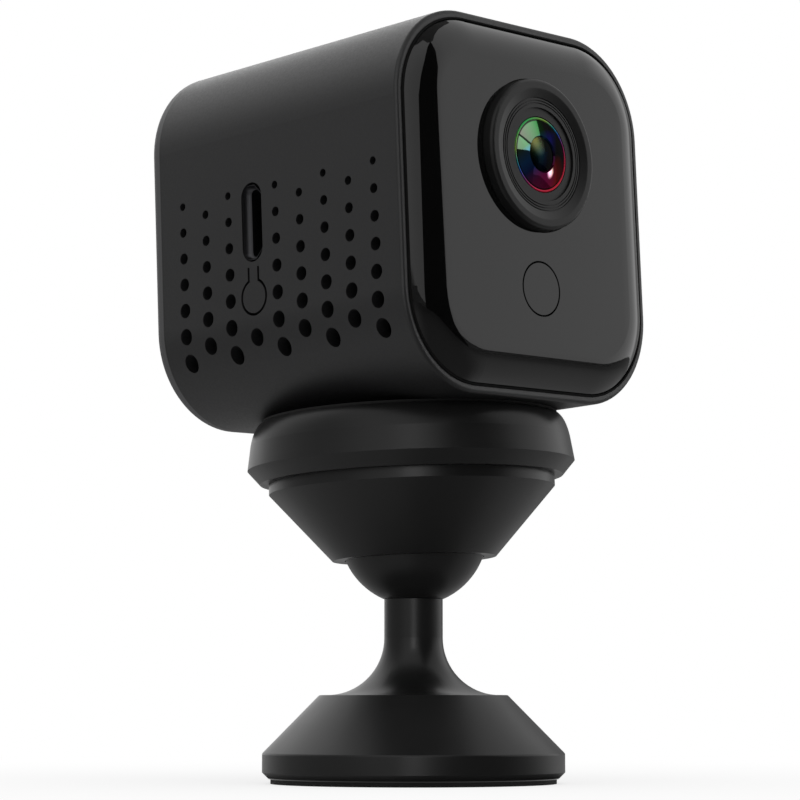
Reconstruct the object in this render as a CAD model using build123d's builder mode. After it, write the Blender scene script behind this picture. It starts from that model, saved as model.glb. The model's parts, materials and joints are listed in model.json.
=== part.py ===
"""Cube security camera on a magnetic ball-joint stand.

Millimetres, +Z up, origin at the centre of the foot's underside, the lens looks along -Y.
The stand is drawn in that frame. The socket and its mount are drawn about the ball's centre and
the camera about the middle of its body, and the two poses below set them in place.
"""

import os
from math import asin, atan2, cos, degrees, sin, sqrt

from build123d import *

os.makedirs("parts", exist_ok=True)

# ---------------------------------------------------------------- driving dimensions
# Stand: a weighted foot with a cone, a flared post and a spigot that the ball turns on
FOOT_RADIUS = 16.2
FOOT_PAD_RADIUS = 15.3
FOOT_PAD_THICKNESS = 0.5
FOOT_CHAMFER = 0.7
FOOT_RIM_TOP = 3.2
FOOT_TOP = 9.4
FOOT_TOP_RADIUS = 10.1
FOOT_EDGE_ROUND = 0.3
FOOT_WALL = 1.8
FOOT_ROOF = 2.0
FLARE_RADIUS = 6.1
POST_RADIUS = 3.15
SPIGOT_RADIUS = 2.0
SPIGOT_END = 1.1  # below the ball's centre
WEIGHT_CLEARANCE = 0.15

# Ball and the screw that keeps it on the spigot
BALL_RADIUS = 8.0
BALL_HEIGHT = 27.0
BALL_TURN_GAP = 0.05
BALL_END_GAP = 0.1
BALL_FLOOR_TOP = 4.0  # above the ball's centre
BALL_SCREW_HEAD_RADIUS = 2.2
BALL_SCREW_HEAD = 1.5
BALL_SCREW_RADIUS = 1.0
BALL_SCREW_GRIP = 5.0
SCREW_DRIVE_RADIUS = 0.6
SCREW_DRIVE_DEPTH = 0.7
SCREW_CLEARANCE = 0.3
THREAD_CLEARANCE = 0.02

# Socket cup, heights above the ball's centre
HEAD_TILT = 2.3  # degrees that the camera looks up at rest
HEAD_ROLL = 0.6  # degrees that it leans towards its port side at rest
SOCKET_CLEARANCE = 0.1
CUP_RIM_DROP = 3.0
CUP_RIM_RADIUS = 8.85
CUP_RADIUS = 15.45
CUP_CONE_TOP = 4.35
CUP_TOP = 5.5
CUP_WALL = 1.7
CUP_TUBE_WALL = 1.7
CUP_POCKET_FLOOR = 2.2
SEAT_BOTTOM = 3.6
SEAT_SIDE_GAP = 0.1
SCREW_CIRCLE_RADIUS = 11.4
DISC_SCREWS = 3
DISC_SCREW_RADIUS = 0.9
DISC_SCREW_HEAD_RADIUS = 1.7
DISC_SCREW_HEAD = 1.2
DISC_SCREW_GRIP = 3.0
CUP_BOSS_RADIUS = 1.7

# Mount disc with its magnet and face pad
DISC_RADIUS = 17.7
DISC_FOOT_RADIUS = 16.4
DISC_WIDEST = 7.0
DISC_TOP = 12.0
DISC_SHOULDER_RADIUS = 17.3
DISC_SHOULDER = 9.6
DISC_CROWN_RADIUS = 16.95  # where the crown's side and shoulder would meet
DISC_CROWN_HEIGHT = 11.4
DISC_TOP_RADIUS = 16.2
DISC_WALL = 1.6
DISC_ROOF = 1.6
DISC_BOSS_WALL = 0.8
DISC_HEAD_DEPTH = 1.4
MAGNET_RADIUS = 8.0
MAGNET_THICKNESS = 2.0
MAGNET_FLOOR = 0.6
MAGNET_GAP = 0.1
PAD_RADIUS = 16.0
PAD_THICKNESS = 0.28
PAD_CLEARANCE = 0.02

# Camera body: square tube with large rounded long edges
SHELL_WIDTH = 37.8
SHELL_HEIGHT = 40.0
SHELL_DEPTH = 37.9
SHELL_CORNER = 10.2
SHELL_WALL = 1.6
BODY_SETBACK = 0.9  # middle of the body behind the mount's axis
FRONT_RIM = 0.85
FRONT_RIM_ROUND = 0.4
REAR_RIM = 1.3
REAR_RIM_ROUND = 1.0
PANEL_GAP = 0.1
PANEL_SEAT = 1.2
PANEL_RISE = 1.75
PANEL_EDGE_ROUND = 4.8
PANEL_SKIN = 1.55
PANEL_FLANGE = 2.2
REAR_COVER_GAP = 0.15
REAR_COVER_THICKNESS = 1.6
REAR_COVER_ROUND = 0.4

# Vents in both side walls, growing downwards, columns counted from the front
VENT_COLUMNS = 9
VENT_ROWS = 7
VENT_COLUMN_PITCH = 3.64
VENT_ROW_PITCH = 2.85
VENT_FROM_FRONT = 3.64
VENT_TOP = 3.5
VENT_TOP_DIAMETER = 0.85
VENT_BOTTOM_DIAMETER = 1.95
VENT_DEPTH = 3.2
PORT_COLUMN = 5
PORT_FIRST_ROW = 5
CARD_COLUMN = 6
CARD_FIRST_ROW = 4

# Micro-USB port and reset tongue, both in the port column of the left side
USB_SLOT_LENGTH = 8.5
USB_SLOT_WIDTH = 3.1
USB_HEIGHT = 0.1
USB_PORT_LENGTH = 7.3
USB_PORT_THICKNESS = 2.5
USB_PORT_WALL = 0.3
USB_PORT_DEPTH = 5.6
USB_PORT_RECESS = 0.6
USB_PORT_CHAMFER = 0.8
USB_PORT_ROUND = 0.6
USB_TONGUE_LENGTH = 4.0
USB_TONGUE_THICKNESS = 0.6
USB_TONGUE_RECESS = 0.6
RESET_HEIGHT = -7.9
RESET_RADIUS = 1.72
RESET_STEM_WIDTH = 1.2
RESET_STEM_TOP = -4.7
RESET_SLIT = 0.28
RESET_THICKNESS = 1.2
RESET_NUB_RADIUS = 0.9
RESET_NUB_LENGTH = 0.5
RESET_SWITCH_SIZE = 2.5
RESET_SWITCH_HEIGHT = 3.6
RESET_ACTUATOR_RADIUS = 0.7
RESET_ACTUATOR_LENGTH = 1.15
RESET_PLAY = 0.45

# Card slot in the right side
CARD_HEIGHT = 0.1
CARD_SLOT_LENGTH = 11.6
CARD_SLOT_WIDTH = 1.2
CARD_SOCKET_HEIGHT = 13.0
CARD_SOCKET_LENGTH = 14.0
CARD_SOCKET_THICKNESS = 1.6
CARD_SOCKET_GAP = 0.4
CARD_DEPTH = 12.0
CARD_ROOM = 0.8

# Lens, heights above the body's middle and radii about the lens axis
LENS_HEIGHT = 5.5
BEZEL_RADIUS = 8.1
BEZEL_GAP = 0.08
BEZEL_DRAFT = 0.12
BEZEL_CREST_WIDTH = 1.0
BEZEL_RISE = 1.15
BEZEL_CREST_ROUND = 0.42
BEZEL_FLANGE = 1.1
BEZEL_FLANGE_THICKNESS = 0.8
DISH_DROP = 0.28
GROOVE_RADIUS = 6.06
GROOVE_WIDTH = 0.13
GROOVE_DEPTH = 0.1
GROOVE_PITCH = 0.28
GROOVES = 3
ANNULUS_RADIUS = 4.98
ANNULUS_DROP = 0.2
ANNULUS_THICKNESS = 1.2
BARREL_RADIUS = 5.8
BARREL_CLEARANCE = 0.6
BARREL_SEAT_GAP = 0.1
BARREL_BORE_RADIUS = 3.1
GLASS_RADIUS = 3.98
GLASS_GAP = 0.08
GLASS_DOME = 0.5
GLASS_EDGE_DROP = 0.1
GLASS_SEAT_DEPTH = 0.8
REAR_LENS_THICKNESS = 2.4
REAR_LENS_SETBACK = 1.6
HOLDER_SIZE = 14.0
HOLDER_CORNER = 1.5
HOLDER_FRONT = -11.0
HOLDER_BACK = -5.0
HOLDER_FIT = 0.05
HOLDER_WINDOW_RADIUS = 3.4
HOLDER_FLOOR = 0.5
SENSOR_SIZE = 8.4
SENSOR_THICKNESS = 0.9
SENSOR_ROOM = 0.3
SENSOR_BOARD_THICKNESS = 1.0
STANDOFF_RADIUS = 1.3
STANDOFF_PITCH = 11.0

# Front board, its parts and the front button
FRONT_BOARD_SETBACK = 2.2
FRONT_BOARD_THICKNESS = 1.0
FRONT_BOARD_SIDE_ROOM = 4.3
FRONT_BOARD_END_ROOM = 2.9
FRONT_BOARD_CORNER = 6.0
PANEL_POST_RADIUS = 1.2
PANEL_POST_FROM_SIDE = 2.5
PANEL_POST_FROM_END = 3.0
LAMPS = 6
LAMP_CIRCLE_RADIUS = 9.0
LAMP_RADIUS = 1.5
LAMP_HEIGHT = 1.2
LIGHT_SENSOR_SIZE = 2.0
LIGHT_SENSOR_HEIGHT = 0.8
MICROPHONE_RADIUS = 1.6
MICROPHONE_HEIGHT = 1.1
SMALL_PART_FROM_SIDE = 4.0
SMALL_PART_HEIGHT = -8.0
BUTTON_HEIGHT = -8.65
BUTTON_RADIUS = 2.75
BUTTON_GAP = 0.2
BUTTON_FLANGE = 0.7
BUTTON_FLANGE_THICKNESS = 0.6
BUTTON_STEM_RADIUS = 1.0
BUTTON_STEM = 0.3
BUTTON_TRAVEL = 0.35
BUTTON_PLAY = 0.1
BUTTON_SWITCH_SIZE = 3.6
BUTTON_SWITCH_HEIGHT = 0.9

# Main board and what it carries
BOARD_SIDE_ROOM = 1.5
BOARD_END_ROOM = 1.9
BOARD_CORNER = 5.0
BOARD_THICKNESS = 1.2
PROCESSOR_SIZE = 9.0
PROCESSOR_THICKNESS = 1.1
PROCESSOR_X = -1.5
PROCESSOR_HEIGHT = -7.0
BOARD_POST_FROM_SIDE = 1.2
BOARD_POST_FROM_END = 4.2
BOARD_POST_RADIUS = 1.6
BOARD_SCREW_RADIUS = 0.7
BOARD_SCREW_HEAD_RADIUS = 1.4
BOARD_SCREW_HEAD = 0.9
BOARD_SCREW_GRIP = 4.0
BATTERY_SIDE_ROOM = 0.3
BATTERY_END_ROOM = 3.0
BATTERY_FRONT_ROOM = 2.2
BATTERY_CORNER = 2.0
BATTERY_GAP = 0.2
CABLE_WIDTH = 8.0
CABLE_THICKNESS = 0.3
CABLE_HEIGHT = -14.3
SPEAKER_RADIUS = 6.5
SPEAKER_THICKNESS = 3.2
SPEAKER_GAP = 0.3
SPEAKER_FROM_FRONT = 11.4
SPEAKER_HEIGHT = -5.0
ANTENNA_WIDTH = 16.0
ANTENNA_DEPTH = 6.0
ANTENNA_THICKNESS = 0.8
ANTENNA_GAP = 0.1
ANTENNA_FROM_FRONT = 16.0
PLATE_RADIUS = 8.0
PLATE_THICKNESS = 1.2

# ---------------------------------------------------------------- derived places
POST_TOP = BALL_HEIGHT - sqrt(BALL_RADIUS**2 - POST_RADIUS**2)
SPIGOT_TOP = BALL_HEIGHT - SPIGOT_END
CAVITY_RADIUS = BALL_RADIUS + SOCKET_CLEARANCE
BODY_HEIGHT = DISC_TOP + PAD_CLEARANCE + PAD_THICKNESS + SHELL_HEIGHT / 2
FRONT = SHELL_DEPTH / 2
ROOM_HALF_WIDTH = SHELL_WIDTH / 2 - SHELL_WALL
ROOM_HALF_HEIGHT = SHELL_HEIGHT / 2 - SHELL_WALL
PANEL_BACK = PANEL_RISE - PANEL_SKIN
FRONT_BOARD_FACE = -FRONT_BOARD_SETBACK
BEZEL_CREST = PANEL_RISE + BEZEL_RISE
ANNULUS_FACE = BEZEL_CREST - DISH_DROP - ANNULUS_DROP
BARREL_FRONT = ANNULUS_FACE - ANNULUS_THICKNESS - BARREL_SEAT_GAP
PORT_Y = -FRONT + VENT_FROM_FRONT + PORT_COLUMN * VENT_COLUMN_PITCH
BOARD_FACE_Y = PORT_Y + USB_PORT_THICKNESS / 2
BOARD_BACK_Y = BOARD_FACE_Y + BOARD_THICKNESS
REAR_COVER_INSIDE_Y = FRONT - REAR_COVER_THICKNESS
SENSOR_BOARD_BACK_Y = HOLDER_BACK + SENSOR_BOARD_THICKNESS
CARD_Y = BOARD_BACK_Y + CARD_SOCKET_THICKNESS / 2
FRONT_BOARD_WIDTH = 2 * (ROOM_HALF_WIDTH - FRONT_BOARD_SIDE_ROOM)
FRONT_BOARD_HEIGHT = 2 * (ROOM_HALF_HEIGHT - FRONT_BOARD_END_ROOM)
SMALL_PART_X = FRONT_BOARD_WIDTH / 2 - SMALL_PART_FROM_SIDE
PANEL_POSTS_ACROSS = FRONT_BOARD_WIDTH - 2 * PANEL_POST_FROM_SIDE
PANEL_POSTS_UP = FRONT_BOARD_HEIGHT - 2 * PANEL_POST_FROM_END
BOARD_WIDTH = 2 * (ROOM_HALF_WIDTH - BOARD_SIDE_ROOM)
BOARD_HEIGHT = 2 * (ROOM_HALF_HEIGHT - BOARD_END_ROOM)
BOARD_POSTS_ACROSS = BOARD_WIDTH - 2 * BOARD_POST_FROM_SIDE
BOARD_POSTS_UP = BOARD_HEIGHT - 2 * BOARD_POST_FROM_END
BATTERY_BACK_Y = REAR_COVER_INSIDE_Y - BATTERY_GAP
BATTERY_FRONT_Y = BOARD_BACK_Y + CARD_SOCKET_THICKNESS + BATTERY_FRONT_ROOM
BATTERY_WIDTH = BOARD_POSTS_ACROSS - 2 * (BOARD_POST_RADIUS + BATTERY_SIDE_ROOM)
BATTERY_HEIGHT = BOARD_HEIGHT - 2 * BATTERY_END_ROOM
USB_MOUTH_X = USB_PORT_RECESS - SHELL_WIDTH / 2
RESET_NUB_X = RESET_THICKNESS + RESET_NUB_LENGTH - SHELL_WIDTH / 2
RESET_SWITCH_X = RESET_NUB_X + RESET_PLAY + RESET_ACTUATOR_LENGTH

# The socket and mount lean about the ball's centre, and the camera stands on the mount
HEAD_POSE = Pos(0, 0, BALL_HEIGHT) * Rot(-HEAD_TILT, -HEAD_ROLL, 0)
CAMERA_POSE = HEAD_POSE * Pos(0, BODY_SETBACK, BODY_HEIGHT)

# Half-plane for what is turned about the lens axis: across it, then forwards from the shell's rim
LENS_AXIS = Axis((0, -FRONT, LENS_HEIGHT), (0, -1, 0))
LENS_SECTION = Plane(origin=(0, -FRONT, LENS_HEIGHT), x_dir=(1, 0, 0), z_dir=(0, 0, -1))


def save(piece, name, pose=Pos(0, 0, 0)):
    """Set a finished piece in place, name it and write it."""
    placed = pose * piece
    placed.label = name
    export_step(placed, f"parts/{name}.step")


def front_plane(rise):
    """Plane parallel to the front, that far proud of the shell's rim, facing forwards."""
    return Plane.XZ.offset(FRONT + rise)


def back_plane(y):
    """Plane across the body at y, facing forwards."""
    return Plane.XZ.offset(-y)


def shell_outline(inset):
    """Rounded square of the shell, set in by that much, for the sketch that is open."""
    RectangleRounded(SHELL_WIDTH - 2 * inset, SHELL_HEIGHT - 2 * inset, SHELL_CORNER - inset)


def vent_circles(slot_column, slot_first_row):
    """Vents of one side, for the sketch that is open: below a slot its column starts lower down."""
    growth = (VENT_BOTTOM_DIAMETER - VENT_TOP_DIAMETER) / (VENT_ROWS - 1)
    for column in range(VENT_COLUMNS):
        stagger = (column % 2) / 2
        first_row = slot_first_row if column == slot_column else 0
        for row in range(first_row, VENT_ROWS - column % 2):
            step = row + stagger
            place = (
                -FRONT + VENT_FROM_FRONT + column * VENT_COLUMN_PITCH,
                VENT_TOP - step * VENT_ROW_PITCH,
            )
            with Locations(place):
                Circle((VENT_TOP_DIAMETER + step * growth) / 2)


def foot_core(inset):
    """Half section of the room under the foot's cone, set in from its walls by that much."""
    slope = atan2(FOOT_TOP - FOOT_RIM_TOP, FOOT_RADIUS - FOOT_TOP_RADIUS)
    run = cos(slope) / sin(slope)
    wall = FOOT_WALL + inset
    side = FOOT_RADIUS - wall
    shift = wall / sin(slope)
    side_top = FOOT_RIM_TOP - (shift - wall) / run
    roof = FOOT_TOP - FOOT_ROOF - inset
    roof_radius = FOOT_RADIUS - shift - (roof - FOOT_RIM_TOP) * run
    return [
        (0, FOOT_PAD_THICKNESS),
        (side, FOOT_PAD_THICKNESS),
        (side, side_top),
        (roof_radius, roof),
        (0, roof),
    ]


# ---------------------------------------------------------------- stand
with BuildPart() as foot_pad:
    Cylinder(FOOT_PAD_RADIUS, FOOT_PAD_THICKNESS, align=(Align.CENTER, Align.CENTER, Align.MIN))
save(foot_pad.part, "foot_pad")

with BuildPart() as base_shell:
    with BuildSketch(Plane.XZ):
        with BuildLine():
            Polyline(
                (0, FOOT_PAD_THICKNESS),
                (FOOT_RADIUS - FOOT_CHAMFER, FOOT_PAD_THICKNESS),
                (FOOT_RADIUS, FOOT_PAD_THICKNESS + FOOT_CHAMFER),
                (FOOT_RADIUS, FOOT_RIM_TOP),
                (FOOT_TOP_RADIUS, FOOT_TOP),
                (POST_RADIUS + FLARE_RADIUS, FOOT_TOP),
            )
            CenterArc((POST_RADIUS + FLARE_RADIUS, FOOT_TOP + FLARE_RADIUS), FLARE_RADIUS, 180, 90)
            Polyline(
                (POST_RADIUS, FOOT_TOP + FLARE_RADIUS),
                (POST_RADIUS, POST_TOP),
                (SPIGOT_RADIUS, POST_TOP),
                (SPIGOT_RADIUS, SPIGOT_TOP),
                (0, SPIGOT_TOP),
                (0, FOOT_PAD_THICKNESS),
            )
        make_face()
    revolve(axis=Axis.Z)
    cone_edges = base_shell.edges().filter_by(GeomType.CIRCLE).filter_by_position(
        Axis.Z, FOOT_RIM_TOP - FOOT_EDGE_ROUND, FOOT_TOP + FOOT_EDGE_ROUND
    )
    flare_edge_radius = POST_RADIUS + FLARE_RADIUS
    outer_edges = [edge for edge in cone_edges if edge.radius > flare_edge_radius + FOOT_EDGE_ROUND]
    fillet(outer_edges, radius=FOOT_EDGE_ROUND)
    with BuildSketch(Plane.XZ):
        with BuildLine():
            Polyline(foot_core(0), close=True)
        make_face()
    revolve(axis=Axis.Z, mode=Mode.SUBTRACT)
    with BuildSketch(Plane.XY.offset(SPIGOT_TOP)):
        Circle(BALL_SCREW_RADIUS + THREAD_CLEARANCE)
    extrude(amount=-BALL_SCREW_GRIP - BALL_END_GAP, mode=Mode.SUBTRACT)
save(base_shell.part, "base_shell")

with BuildPart() as base_weight:
    with BuildSketch(Plane.XZ):
        with BuildLine():
            Polyline(foot_core(WEIGHT_CLEARANCE), close=True)
        make_face()
    revolve(axis=Axis.Z)
save(base_weight.part, "base_weight")

with BuildPart() as ball_screw:
    with BuildSketch(Plane.XY.offset(BALL_HEIGHT + BALL_FLOOR_TOP + BALL_TURN_GAP)):
        Circle(BALL_SCREW_HEAD_RADIUS)
    extrude(amount=BALL_SCREW_HEAD)
    with BuildSketch(Plane.XY.offset(BALL_HEIGHT + BALL_FLOOR_TOP + BALL_TURN_GAP)):
        Circle(BALL_SCREW_RADIUS)
    extrude(amount=-(BALL_FLOOR_TOP + BALL_TURN_GAP + SPIGOT_END + BALL_SCREW_GRIP))
    with BuildSketch(ball_screw.faces().sort_by(Axis.Z)[-1]):
        RegularPolygon(SCREW_DRIVE_RADIUS, 6)
    extrude(amount=-SCREW_DRIVE_DEPTH, mode=Mode.SUBTRACT)
save(ball_screw.part, "ball_screw")

with BuildPart() as ball:
    with Locations((0, 0, BALL_HEIGHT)):
        Sphere(BALL_RADIUS)
    with BuildSketch(Plane.XY.offset(POST_TOP + BALL_TURN_GAP)):
        Circle(BALL_RADIUS)
    extrude(amount=-BALL_RADIUS, mode=Mode.SUBTRACT)
    with BuildSketch(Plane.XY.offset(SPIGOT_TOP + BALL_END_GAP)):
        Circle(SPIGOT_RADIUS + BALL_TURN_GAP)
    extrude(amount=-BALL_RADIUS, mode=Mode.SUBTRACT)
    with BuildSketch(Plane.XY.offset(BALL_HEIGHT + BALL_FLOOR_TOP)):
        Circle(BALL_SCREW_HEAD_RADIUS + SCREW_CLEARANCE)
    extrude(amount=BALL_RADIUS, mode=Mode.SUBTRACT)
    with BuildSketch(Plane.XY.offset(BALL_HEIGHT + BALL_FLOOR_TOP)):
        Circle(BALL_SCREW_RADIUS + BALL_TURN_GAP)
    extrude(amount=-BALL_RADIUS, mode=Mode.SUBTRACT)
save(ball.part, "ball")

# ---------------------------------------------------------------- socket, about the ball's centre
with BuildPart() as socket_cup:
    with BuildSketch(Plane.XZ):
        with BuildLine():
            Polyline(
                (0, -CUP_RIM_DROP),
                (CUP_RIM_RADIUS, -CUP_RIM_DROP),
                (CUP_RADIUS, CUP_CONE_TOP),
                (CUP_RADIUS, CUP_TOP),
                (0, CUP_TOP),
                close=True,
            )
        make_face()
    revolve(axis=Axis.Z)
    # Room between the inner tube and the cone, open at the top and bridged by the screw bosses
    with BuildSketch(Plane.XZ):
        slope = atan2(CUP_CONE_TOP + CUP_RIM_DROP, CUP_RADIUS - CUP_RIM_RADIUS)
        run = cos(slope) / sin(slope)
        shift = CUP_WALL / sin(slope)
        tube_radius = CAVITY_RADIUS + CUP_TUBE_WALL
        inner_radius = CUP_RADIUS - CUP_WALL
        corner_height = CUP_CONE_TOP + (shift - CUP_WALL) / run
        floor_radius = CUP_RADIUS - shift - (CUP_CONE_TOP - CUP_POCKET_FLOOR) * run
        with BuildLine():
            Polyline(
                (tube_radius, CUP_POCKET_FLOOR),
                (floor_radius, CUP_POCKET_FLOOR),
                (inner_radius, corner_height),
                (inner_radius, CUP_TOP),
                (tube_radius, CUP_TOP),
                close=True,
            )
        make_face()
    revolve(axis=Axis.Z, mode=Mode.SUBTRACT)
    with BuildSketch(Plane.XY.offset(CUP_POCKET_FLOOR)):
        with PolarLocations(SCREW_CIRCLE_RADIUS, DISC_SCREWS):
            Circle(CUP_BOSS_RADIUS)
    extrude(amount=CUP_TOP - CUP_POCKET_FLOOR)
    with BuildSketch(Plane.XY.offset(CUP_TOP)):
        with PolarLocations(SCREW_CIRCLE_RADIUS, DISC_SCREWS):
            Circle(DISC_SCREW_RADIUS + THREAD_CLEARANCE)
    extrude(amount=-DISC_SCREW_GRIP - THREAD_CLEARANCE, mode=Mode.SUBTRACT)
    # Ball seat: a sphere below its middle and a straight bore above, so the ball drops in
    Sphere(CAVITY_RADIUS, mode=Mode.SUBTRACT)
    with BuildSketch(Plane.XY):
        Circle(CAVITY_RADIUS)
    extrude(amount=CUP_TOP, mode=Mode.SUBTRACT)
save(socket_cup.part, "socket_cup", HEAD_POSE)

SEAT_TOP = DISC_TOP - MAGNET_THICKNESS - MAGNET_FLOOR
with BuildPart() as socket_seat:
    with BuildSketch(Plane.XY.offset(SEAT_BOTTOM)):
        Circle(CAVITY_RADIUS - SEAT_SIDE_GAP)
    extrude(amount=SEAT_TOP - SEAT_BOTTOM)
    Sphere(CAVITY_RADIUS, mode=Mode.SUBTRACT)
save(socket_seat.part, "socket_seat", HEAD_POSE)

with BuildPart() as mount_disc:
    with BuildSketch(Plane.XZ):
        with BuildLine():
            Polyline(
                (0, CUP_TOP),
                (DISC_FOOT_RADIUS, CUP_TOP),
                (DISC_RADIUS, DISC_WIDEST),
                (DISC_SHOULDER_RADIUS, DISC_SHOULDER),
            )
            Bezier(
                (DISC_SHOULDER_RADIUS, DISC_SHOULDER),
                (DISC_CROWN_RADIUS, DISC_CROWN_HEIGHT),
                (DISC_TOP_RADIUS, DISC_TOP),
            )
            Polyline((DISC_TOP_RADIUS, DISC_TOP), (0, DISC_TOP), (0, CUP_TOP))
        make_face()
    revolve(axis=Axis.Z)
    # Hollow under the roof, bridged by the magnet's cup and the screw bosses
    with BuildSketch(Plane.XY.offset(CUP_TOP)):
        Circle(DISC_FOOT_RADIUS - DISC_WALL)
    extrude(amount=DISC_TOP - DISC_ROOF - CUP_TOP, mode=Mode.SUBTRACT)
    with BuildSketch(Plane.XY.offset(SEAT_TOP)):
        Circle(MAGNET_RADIUS + MAGNET_GAP + DISC_ROOF)
    extrude(amount=DISC_TOP - DISC_ROOF - SEAT_TOP)
    with BuildSketch(Plane.XY.offset(CUP_TOP)):
        with PolarLocations(SCREW_CIRCLE_RADIUS, DISC_SCREWS):
            Circle(DISC_SCREW_HEAD_RADIUS + SCREW_CLEARANCE + DISC_BOSS_WALL)
    extrude(amount=DISC_TOP - DISC_ROOF - CUP_TOP)
    with BuildSketch(Plane.XY.offset(DISC_TOP)):
        Circle(MAGNET_RADIUS + MAGNET_GAP)
    extrude(amount=-MAGNET_THICKNESS, mode=Mode.SUBTRACT)
    with Locations(Plane.XY.offset(DISC_TOP)):
        with PolarLocations(SCREW_CIRCLE_RADIUS, DISC_SCREWS):
            CounterBoreHole(
                DISC_SCREW_RADIUS + SCREW_CLEARANCE,
                DISC_SCREW_HEAD_RADIUS + SCREW_CLEARANCE,
                DISC_HEAD_DEPTH,
            )
save(mount_disc.part, "mount_disc", HEAD_POSE)

with BuildPart() as disc_magnet:
    with BuildSketch(Plane.XY.offset(DISC_TOP - MAGNET_THICKNESS)):
        Circle(MAGNET_RADIUS)
    extrude(amount=MAGNET_THICKNESS)
save(disc_magnet.part, "disc_magnet", HEAD_POSE)

with BuildPart() as disc_screws:
    with BuildSketch(Plane.XY.offset(DISC_TOP - DISC_HEAD_DEPTH)):
        with PolarLocations(SCREW_CIRCLE_RADIUS, DISC_SCREWS):
            Circle(DISC_SCREW_HEAD_RADIUS)
    extrude(amount=DISC_SCREW_HEAD)
    with BuildSketch(Plane.XY.offset(DISC_TOP - DISC_HEAD_DEPTH)):
        with PolarLocations(SCREW_CIRCLE_RADIUS, DISC_SCREWS):
            Circle(DISC_SCREW_RADIUS)
    extrude(amount=-(DISC_TOP - DISC_HEAD_DEPTH - CUP_TOP + DISC_SCREW_GRIP))
save(disc_screws.part, "disc_screws", HEAD_POSE)

with BuildPart() as mount_pad:
    with BuildSketch(Plane.XY.offset(DISC_TOP + PAD_CLEARANCE)):
        Circle(PAD_RADIUS)
    extrude(amount=PAD_THICKNESS)
save(mount_pad.part, "mount_pad", HEAD_POSE)

# ---------------------------------------------------------------- camera casing, about its middle
with BuildPart() as body_shell:
    with BuildSketch(front_plane(0)):
        shell_outline(0)
    extrude(amount=-SHELL_DEPTH)
    fillet(body_shell.faces().sort_by(Axis.Y)[0].edges(), radius=FRONT_RIM_ROUND)
    fillet(body_shell.faces().sort_by(Axis.Y)[-1].edges(), radius=REAR_RIM_ROUND)
    with BuildSketch(front_plane(0)):
        shell_outline(SHELL_WALL)
    extrude(amount=-SHELL_DEPTH, mode=Mode.SUBTRACT)
    with BuildSketch(front_plane(0)):
        shell_outline(FRONT_RIM)
    extrude(amount=-PANEL_SEAT, mode=Mode.SUBTRACT)
    with BuildSketch(front_plane(-SHELL_DEPTH)):
        shell_outline(REAR_RIM)
    extrude(amount=REAR_COVER_THICKNESS, mode=Mode.SUBTRACT)
    # Left side: vents, the port's slot and the slit round the reset tongue
    with BuildSketch(Plane.YZ.offset(-SHELL_WIDTH / 2)):
        vent_circles(PORT_COLUMN, PORT_FIRST_ROW)
        with Locations((PORT_Y, USB_HEIGHT)):
            SlotOverall(USB_SLOT_LENGTH, USB_SLOT_WIDTH, rotation=90)
        with Locations((PORT_Y, RESET_HEIGHT)):
            Circle(RESET_RADIUS + RESET_SLIT)
            Rectangle(
                RESET_STEM_WIDTH + 2 * RESET_SLIT,
                RESET_STEM_TOP - RESET_HEIGHT,
                align=(Align.CENTER, Align.MIN),
            )
    extrude(amount=VENT_DEPTH, mode=Mode.SUBTRACT)
    # Right side: vents and the card slot
    with BuildSketch(Plane.YZ.offset(SHELL_WIDTH / 2)):
        vent_circles(CARD_COLUMN, CARD_FIRST_ROW)
        with Locations((CARD_Y, CARD_HEIGHT)):
            SlotOverall(CARD_SLOT_LENGTH, CARD_SLOT_WIDTH, rotation=90)
    extrude(amount=-VENT_DEPTH, mode=Mode.SUBTRACT)
save(body_shell.part, "body_shell", CAMERA_POSE)

with BuildPart() as reset_tongue:
    with BuildSketch(Plane.YZ.offset(-SHELL_WIDTH / 2)):
        with Locations((PORT_Y, RESET_HEIGHT)):
            Circle(RESET_RADIUS)
            Rectangle(RESET_STEM_WIDTH, RESET_STEM_TOP - RESET_HEIGHT, align=(Align.CENTER, Align.MIN))
    extrude(amount=RESET_THICKNESS)
    with BuildSketch(Plane.YZ.offset(-SHELL_WIDTH / 2 + RESET_THICKNESS)):
        with Locations((PORT_Y, RESET_HEIGHT)):
            Circle(RESET_NUB_RADIUS)
    extrude(amount=RESET_NUB_LENGTH)
save(reset_tongue.part, "reset_tongue", CAMERA_POSE)

with BuildPart() as rear_cover:
    with BuildSketch(back_plane(FRONT)):
        shell_outline(REAR_RIM + REAR_COVER_GAP)
    extrude(amount=REAR_COVER_THICKNESS)
    fillet(rear_cover.faces().sort_by(Axis.Y)[-1].edges(), radius=REAR_COVER_ROUND)
    with BuildSketch(back_plane(REAR_COVER_INSIDE_Y)):
        with GridLocations(BOARD_POSTS_ACROSS, BOARD_POSTS_UP, 2, 2):
            Circle(BOARD_POST_RADIUS)
    extrude(amount=REAR_COVER_INSIDE_Y - BOARD_BACK_Y)
    with BuildSketch(back_plane(BOARD_BACK_Y)):
        with GridLocations(BOARD_POSTS_ACROSS, BOARD_POSTS_UP, 2, 2):
            Circle(BOARD_SCREW_RADIUS + THREAD_CLEARANCE)
    extrude(amount=-BOARD_SCREW_GRIP - THREAD_CLEARANCE, mode=Mode.SUBTRACT)
save(rear_cover.part, "rear_cover", CAMERA_POSE)

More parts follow.
